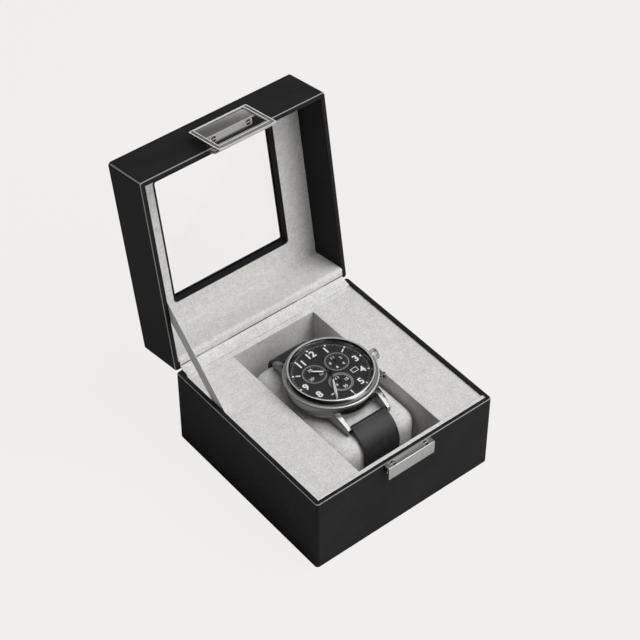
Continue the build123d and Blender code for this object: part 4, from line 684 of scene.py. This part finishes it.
# Matt black lacquer: no gloss, an orange peel of 0.2 mm.
lacquer, tree, surface = new_material("matt black dial lacquer")
place = add_node(tree, "TexCoord")
peel = add_node(tree, "TexNoise", {"Scale": 5000.0, "Detail": 2.0}, {"Vector": place.outputs["Object"]})
tone = add_node(tree, "ValToRGB", {"stops": ((0.0, "#232324"), (1.0, "#2E2E2F"))},
                {"Fac": peel.outputs["Fac"]})
relief = add_node(tree, "Bump", {"Strength": 0.1, "Distance": 0.00002}, {"Height": peel.outputs["Fac"]})
shader = add_node(tree, "BsdfPrincipled", {"Roughness": 0.6, "Specular IOR Level": 0.3},
                  {"Base Color": tone.outputs["Color"], "Normal": relief.outputs["Normal"]})
tree.links.new(shader.outputs[0], surface)
dress(lacquer, "watch_dial")


def new_ink(name, dark, light):
    """Pad-printing ink: opaque, eggshell, uneven over about 0.3 mm."""
    material, tree, surface = new_material(name)
    place = add_node(tree, "TexCoord")
    uneven = add_node(tree, "TexNoise", {"Scale": 3000.0, "Detail": 2.0},
                      {"Vector": place.outputs["Object"]})
    tone = add_node(tree, "ValToRGB", {"stops": ((0.0, dark), (1.0, light))},
                    {"Fac": uneven.outputs["Fac"]})
    shader = add_node(tree, "BsdfPrincipled", {"Roughness": 0.5}, {"Base Color": tone.outputs["Color"]})
    tree.links.new(shader.outputs[0], surface)
    return material


ink = new_ink("white printing ink", "#EEEEEB", "#FAFAF7")
grey_ink = new_ink("grey printing ink", "#838382", "#969694")

dial_top = 0.0487
print_height = 0.00005
counters = {"left": (-0.0064, 0.0037), "right": (0.0064, 0.0037), "low": (0, -0.0072)}
counter_floor = dial_top - 0.00015


def face_outwards(piece):
    """Turn every face of a closed mesh outwards."""
    select_only(piece)
    bpy.ops.object.mode_set(mode="EDIT")
    bpy.ops.mesh.select_all(action="SELECT")
    bpy.ops.mesh.normals_make_consistent(inside=False)
    bpy.ops.object.mode_set(mode="OBJECT")


def repeat(piece, turns):
    """Copy a piece's mesh to each place and join the copies into it."""
    shape = bmesh.new()
    for turn in turns:
        copy = piece.data.copy()
        copy.transform(turn)
        shape.from_mesh(copy)
        bpy.data.meshes.remove(copy)
    shape.to_mesh(piece.data)
    shape.free()


def clock_place(hour, radius, level, middle=(0, 0), upright=False):
    """A mark's place on the dial: clockwise from 12, at a radius, its top outwards unless it is upright."""
    turn = radians(30 * hour)
    spot = Vector((middle[0] + radius * sin(turn), watch_middle.y + middle[1] + radius * cos(turn), level))
    return Matrix.Translation(spot) @ Matrix.Rotation(0 if upright else -turn, 4, "Z")


def printed_bar(name, width, length, turns, colour):
    """Bars of ink with eased corners, one at each place."""
    bpy.ops.mesh.primitive_cube_add(size=1.0)
    bar = take(name)
    bar.scale = (width, length, print_height)
    bpy.ops.object.transform_apply(scale=True)
    apply_modifier(bar, "BEVEL", width=min(width, length) * 0.2, segments=1, limit_method="ANGLE",
                   affect="EDGES", use_clamp_overlap=True)
    repeat(bar, turns)
    settle(bar, colour, "cushion")
    return bar


def printed_ring(name, radius, width, middle, level):
    """A thin ring of grey ink round a middle on the dial. The radius is its outer edge."""
    bpy.ops.mesh.primitive_circle_add(vertices=96, radius=radius)
    ring = take(name)
    bpy.ops.object.mode_set(mode="EDIT")
    bpy.ops.mesh.select_all(action="SELECT")
    bpy.ops.mesh.extrude_region_move()
    inner = (radius - width) / radius
    bpy.ops.transform.resize(value=(inner, inner, 1.0))
    bpy.ops.object.mode_set(mode="OBJECT")
    apply_modifier(ring, "SOLIDIFY", thickness=print_height, offset=0.0)
    ring.data.transform(Matrix.Translation((middle[0], watch_middle.y + middle[1], level)))
    face_outwards(ring)
    settle(ring, grey_ink, "cushion")
    return ring


def printed_numeral(name, words, size, boldness, turn):
    """A numeral of white ink, as a mesh with its middle at its place."""
    bpy.ops.object.text_add()
    text = bpy.context.object
    text.data.body = words
    text.data.size = size
    text.data.offset = boldness
    text.data.resolution_u = 4
    text.data.extrude = print_height / 2
    bpy.ops.object.convert(target="MESH")
    numeral = take(name)
    xs = [vertex.co.x for vertex in numeral.data.vertices]
    ys = [vertex.co.y for vertex in numeral.data.vertices]
    middle = Vector(((min(xs) + max(xs)) / 2, (min(ys) + max(ys)) / 2, 0))
    numeral.data.transform(turn @ Matrix.Translation(-middle))
    settle(numeral, ink, "cushion")
    return numeral


# Radii of the rings that the marks stand on, and sizes of the marks.
numeral_ring, bar_ring, tick_ring, dot_ring, track = 0.0142, 0.0148, 0.01695, 0.0170, 0.01755
numeral_size, numeral_bold = 0.0050, 0.00013
hour_bar = (0.00062, 0.0022)
minute_tick = (0.00016, 0.00075)
hour_dot = (0.00085, 0.00085)
track_line = 0.00014
print_level = dial_top + print_height / 2
for hour in (1, 3, 4, 5, 7, 8, 9, 11, 12):
    printed_numeral(f"numeral_{hour}", str(hour), numeral_size, numeral_bold,
                    clock_place(hour, numeral_ring, print_level, upright=True))
printed_bar("hour_bars", *hour_bar, [clock_place(hour, bar_ring, print_level) for hour in (2, 6, 10)], ink)
minutes = [minute / 5 for minute in range(60)]
printed_bar("minute_ticks", *minute_tick,
            [clock_place(hour, tick_ring, print_level) for hour in minutes if hour % 1], grey_ink)
printed_bar("hour_dots", *hour_dot, [clock_place(hour, dot_ring, print_level) for hour in range(12)], ink)
printed_ring("minute_track", track, track_line, (0, 0), print_level)

counter_print = counter_floor + print_height / 2
counter_marks = {
    "left": ("10", "20", "30"),
    "right": ("2", "4", "6", "8", "10"),
    "low": ("15", "30", "45", "60"),
}
counter_ring, counter_line = 0.0056, 0.00046
band_ring, band_line = 0.0050, 0.00055
counter_tick_ring, counter_tick = 0.00462, (0.00016, 0.00080)
figure_ring, figure_size, figure_bold = 0.0031, 0.0021, 0.00004
for side, middle in counters.items():
    printed_ring(f"counter_ring_{side}", counter_ring, counter_line, middle, print_level)
    steps = 20 if side == "right" else 24
    hours = [12 * step / steps for step in range(steps)]
    printed_bar(f"counter_ticks_{side}", *counter_tick,
                [clock_place(hour, counter_tick_ring, counter_print, middle) for hour in hours], grey_ink)
    marks = counter_marks[side]
    for place, mark in enumerate(marks, 1):
        spot = clock_place(12 * place / len(marks), figure_ring, counter_print, middle, upright=True)
        printed_numeral(f"counter_{side}_{mark}", mark, figure_size, figure_bold, spot)
printed_ring("counter_band_low", band_ring, band_line, counters["low"], counter_print)

date_middle = (0.0093, -0.0052)
date_size = (0.0028, 0.0019)
date_rim = 0.00030
date_place = Matrix.Translation((date_middle[0], watch_middle.y + date_middle[1], print_level))
for side in (-1, 1):
    long_side = date_place @ Matrix.Translation((0, side * (date_size[1] + date_rim) / 2, 0))
    printed_bar(f"date_frame_long_{side + 1}", date_size[0] + 2 * date_rim, date_rim, [long_side], ink)
    short_side = date_place @ Matrix.Translation((side * (date_size[0] + date_rim) / 2, 0, 0))
    printed_bar(f"date_frame_short_{side + 1}", date_rim, date_size[1], [short_side], ink)

# ---------------------------------------------------------------- HANDS
# Stamped brass pointers with black lacquer, pressed on tubes that turn one inside the other. White lume is
# laid along each long hand, and the left counter's pointer has a white tip.
# Black lacquer on brass: a smooth half gloss, uneven over 0.7 mm.
black_lacquer, tree, surface = new_material("black hand lacquer")
place = add_node(tree, "TexCoord")
uneven = add_node(tree, "TexNoise", {"Scale": 1500.0, "Detail": 2.0}, {"Vector": place.outputs["Object"]})
gloss = add_node(tree, "MapRange", {"To Min": 0.35, "To Max": 0.5}, {"Value": uneven.outputs["Fac"]})
shader = add_node(tree, "BsdfPrincipled", {"Base Color": linear("#1B1B1C")},
                  {"Roughness": gloss.outputs["Result"]})
tree.links.new(shader.outputs[0], surface)
hand_ease = 0.00005
for hand in ("hour", "minute", "second", "left", "right", "low"):
    eased_copy(f"hand_{hand}", f"hand_{hand}_leaf", hand_ease, f"{hand}_hand", (black_lacquer,),
               sharp=50.0, segments=1)


def lume(name, angle, level, outline, body, middle=(0, 0)):
    """A strip of white lume on a hand. Its outline lists distances from the middle with half widths."""
    shape = bmesh.new()
    rim = [(half, reach) for reach, half in outline] + [(-half, reach) for reach, half in reversed(outline)]
    shape.faces.new([shape.verts.new((x, y, 0)) for x, y in rim])
    strip = bpy.data.objects.new(name, bpy.data.meshes.new(name))
    bpy.context.scene.collection.objects.link(strip)
    shape.to_mesh(strip.data)
    shape.free()
    apply_modifier(strip, "SOLIDIFY", thickness=print_height, offset=0.0)
    spot = Vector((middle[0], watch_middle.y + middle[1], level + print_height / 2))
    strip.data.transform(Matrix.Translation(spot) @ Matrix.Rotation(-radians(angle), 4, "Z"))
    face_outwards(strip)
    settle(strip, ink, body)


hand_top = {"counter": dial_top + 0.0004, "hour": dial_top + 0.0007, "minute": dial_top + 0.0011,
            "second": dial_top + 0.0015}
lume("hour_lume", 309.0, hand_top["hour"],
     [(0.0032, 0.00030), (0.0048, 0.00042), (0.0080, 0.00034), (0.0087, 0.00016)], "hour_hand")
lume("minute_lume", 209.5, hand_top["minute"],
     [(0.0056, 0.00040), (0.0125, 0.00060), (0.0142, 0.00026), (0.0163, 0.00010)], "minute_hand")
lume("second_lume", 208.5, hand_top["second"],
     [(0.0055, 0.00020), (0.0135, 0.00016), (0.0162, 0.00007)], "second_hand")
lume("left_lume", 230.0, hand_top["counter"],
     [(0.0020, 0.00012), (0.0040, 0.00006)], "left_hand", counters["left"])

# ---------------------------------------------------------------- STRAP AND BUCKLE
# Two lengths of dark grey calf, each folded round its spring bar, padded along the middle and sewn along
# both edges. They go round the cushion and close under it in a steel pin buckle, with two keeper bands.
# Vegetable-tanned calf, dyed nearly black: a fine grain, and clouds of 6 mm in its tone and gloss.
pore_spacing = 0.0007  # drawn about three times as coarse as it is
calf, tree, surface = new_material("dark grey calf")
place = add_node(tree, "TexCoord")
pores = add_node(tree, "TexVoronoi", {"Scale": 1 / pore_spacing}, {"Vector": place.outputs["Object"]})
haze = add_node(tree, "TexNoise", {"Scale": 180.0, "Detail": 5.0}, {"Vector": place.outputs["Object"]})
tone = add_node(tree, "ValToRGB", {"stops": ((0.35, "#1F1F20"), (0.68, "#303031"))},
                {"Fac": haze.outputs["Fac"]})
gloss = add_node(tree, "MapRange", {"To Min": 0.42, "To Max": 0.6}, {"Value": haze.outputs["Fac"]})
relief = add_node(tree, "Bump", {"Strength": 0.3, "Distance": 0.00008, "invert": True},
                  {"Height": pores.outputs["Distance"]})
shader = add_node(tree, "BsdfPrincipled", {"Specular IOR Level": 0.4},
                  {"Base Color": tone.outputs["Color"], "Roughness": gloss.outputs["Result"],
                   "Normal": relief.outputs["Normal"]})
tree.links.new(shader.outputs[0], surface)

# Waxed linen thread, tone on tone, with a twist every 0.35 mm.
thread, tree, surface = new_material("waxed dark thread")
place = add_node(tree, "TexCoord")
twist = add_node(tree, "TexWave", {"Scale": 900.0, "Distortion": 1.0}, {"Vector": place.outputs["Object"]})
tone = add_node(tree, "ValToRGB", {"stops": ((0.0, "#1A1A1A"), (1.0, "#3B3B3C"))},
                {"Fac": twist.outputs["Fac"]})
shader = add_node(tree, "BsdfPrincipled", {"Roughness": 0.6}, {"Base Color": tone.outputs["Color"]})
tree.links.new(shader.outputs[0], surface)

strap_width = 0.0197
strap_end_width = 0.0178
strap_padding, padded_share = 0.00022, 0.78
strap_ease = 0.00035
strap_end_round = 0.008
strap_crease = 0.00008
loop_middle = Vector((0, 0.024))
taper_top, taper_foot = 0.0376, 0.01495
front_bar = (-0.0245, 0.0398)
back_bar = (0.0275, 0.0398)
upper_layer, lower_layer = 0.00895, 0.00675
long_route = bend(*front_arc, 100.0, 180, 14) + bend(*low_front_arc, 180, 270, 10) + [(0.0240, lower_layer)]
short_route = bend(*back_arc, 78.8, 0, 14) + bend(*low_back_arc, 0, -90, 10) + [(0.0020, upper_layer)]


def strap_at(z):
    """The strap's share of its full width at a height. It narrows from the lugs to the cushion's foot."""
    fall = min(max((taper_top - z) / (taper_top - taper_foot), 0.0), 1.0)
    return 1 + (strap_end_width / strap_width - 1) * fall


def make_strap(name, route, node, rounded_end):
    """A strap half laid along its route: tapered, thickened, padded along its middle, its edges eased."""
    strap = lay_sheet(name, route, strap_width, 150, 36)
    end = Vector(route[-1])
    for vertex in strap.data.vertices:
        x, y, z = vertex.co
        vertex.co.x *= strap_at(z)
        to_end = hypot(y - end.x, z - end.y)
        if rounded_end and to_end < strap_end_round:
            vertex.co.x *= sqrt(max(1 - (1 - to_end / strap_end_round) ** 2, 0.02))
    apply_modifier(strap, "SOLIDIFY", thickness=2 * strap_half, offset=0.0)
    face_outwards(strap)
    apply_modifier(strap, "BEVEL", width=strap_ease, segments=2, limit_method="ANGLE",
                   angle_limit=radians(60))
    for vertex in strap.data.vertices:
        x, y, z = vertex.co
        outer = Vector((vertex.normal.y, vertex.normal.z)).dot(Vector((y, z)) - loop_middle) > 0
        if outer and abs(vertex.normal.x) < 0.5:
            part = min(abs(x) / (strap_width / 2 * strap_at(z)), 1.0)
            crown = strap_padding * max(1 - (part / padded_share) ** 4, 0.0)
            crease = noise.noise(Vector((x * 60, y * 420, z * 420))) * strap_crease
            vertex.co += Vector((0, vertex.normal.y, vertex.normal.z)) * (crown + crease)
    settle(strap, calf, "cushion", smooth=50.0)
    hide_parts(node)


make_strap("strap_front", long_route, "strap_long", True)
make_strap("strap_rear", short_route, "strap_short", False)

stitch_pitch = 0.0028
stitch_size = (0.00020, 0.00085, 0.00016)  # half width, half length and half height
stitch_inset = 0.0016
stitch_proud = 0.00006
sewn_share = 0.75
for name, route, outward in (("stitches_front", long_route, -1), ("stitches_rear", short_route, 1)):
    bpy.ops.mesh.primitive_uv_sphere_add(segments=8, ring_count=6, radius=1.0)
    stitch = take(name)
    stitch.scale = stitch_size
    bpy.ops.object.transform_apply(scale=True)
    whole = route_length(route)
    places = []
    for step in range(2, int(sewn_share * whole / stitch_pitch)):
        spot, heading = walk(route, step * stitch_pitch / whole)
        off = Vector((sin(heading), -cos(heading))) * (strap_half + stitch_proud) * outward
        for side in (-1, 1):
            x = side * (strap_width / 2 * strap_at(spot.y) - stitch_inset)
            hole = Matrix.Translation((x, spot.x + off.x, spot.y + off.y))
            places.append(hole @ Matrix.Rotation(heading, 4, "X"))
    repeat(stitch, places)
    settle(stitch, thread, "cushion")

fold_radius, fold_ease = 0.0015, 0.0003
for name, (y, z) in (("strap_fold_front", front_bar), ("strap_fold_rear", back_bar)):
    bpy.ops.mesh.primitive_cylinder_add(vertices=32, radius=fold_radius, depth=strap_width,
                                        location=(0, y, z), rotation=(0, pi / 2, 0))
    fold = take(name)
    apply_modifier(fold, "BEVEL", width=fold_ease, segments=2, limit_method="ANGLE")
    settle(fold, calf, "cushion")

band_ease, buckle_ease, tang_ease = 0.00025, 0.00015, 0.00012
eased_copy("strap_bands", "strap_keeper_bands", band_ease, "cushion", (calf,))
eased_copy("buckle", "buckle_frame", buckle_ease, "cushion", (steel,))
eased_copy("buckle_tang", "buckle_pin", tang_ease, "cushion", (steel,))
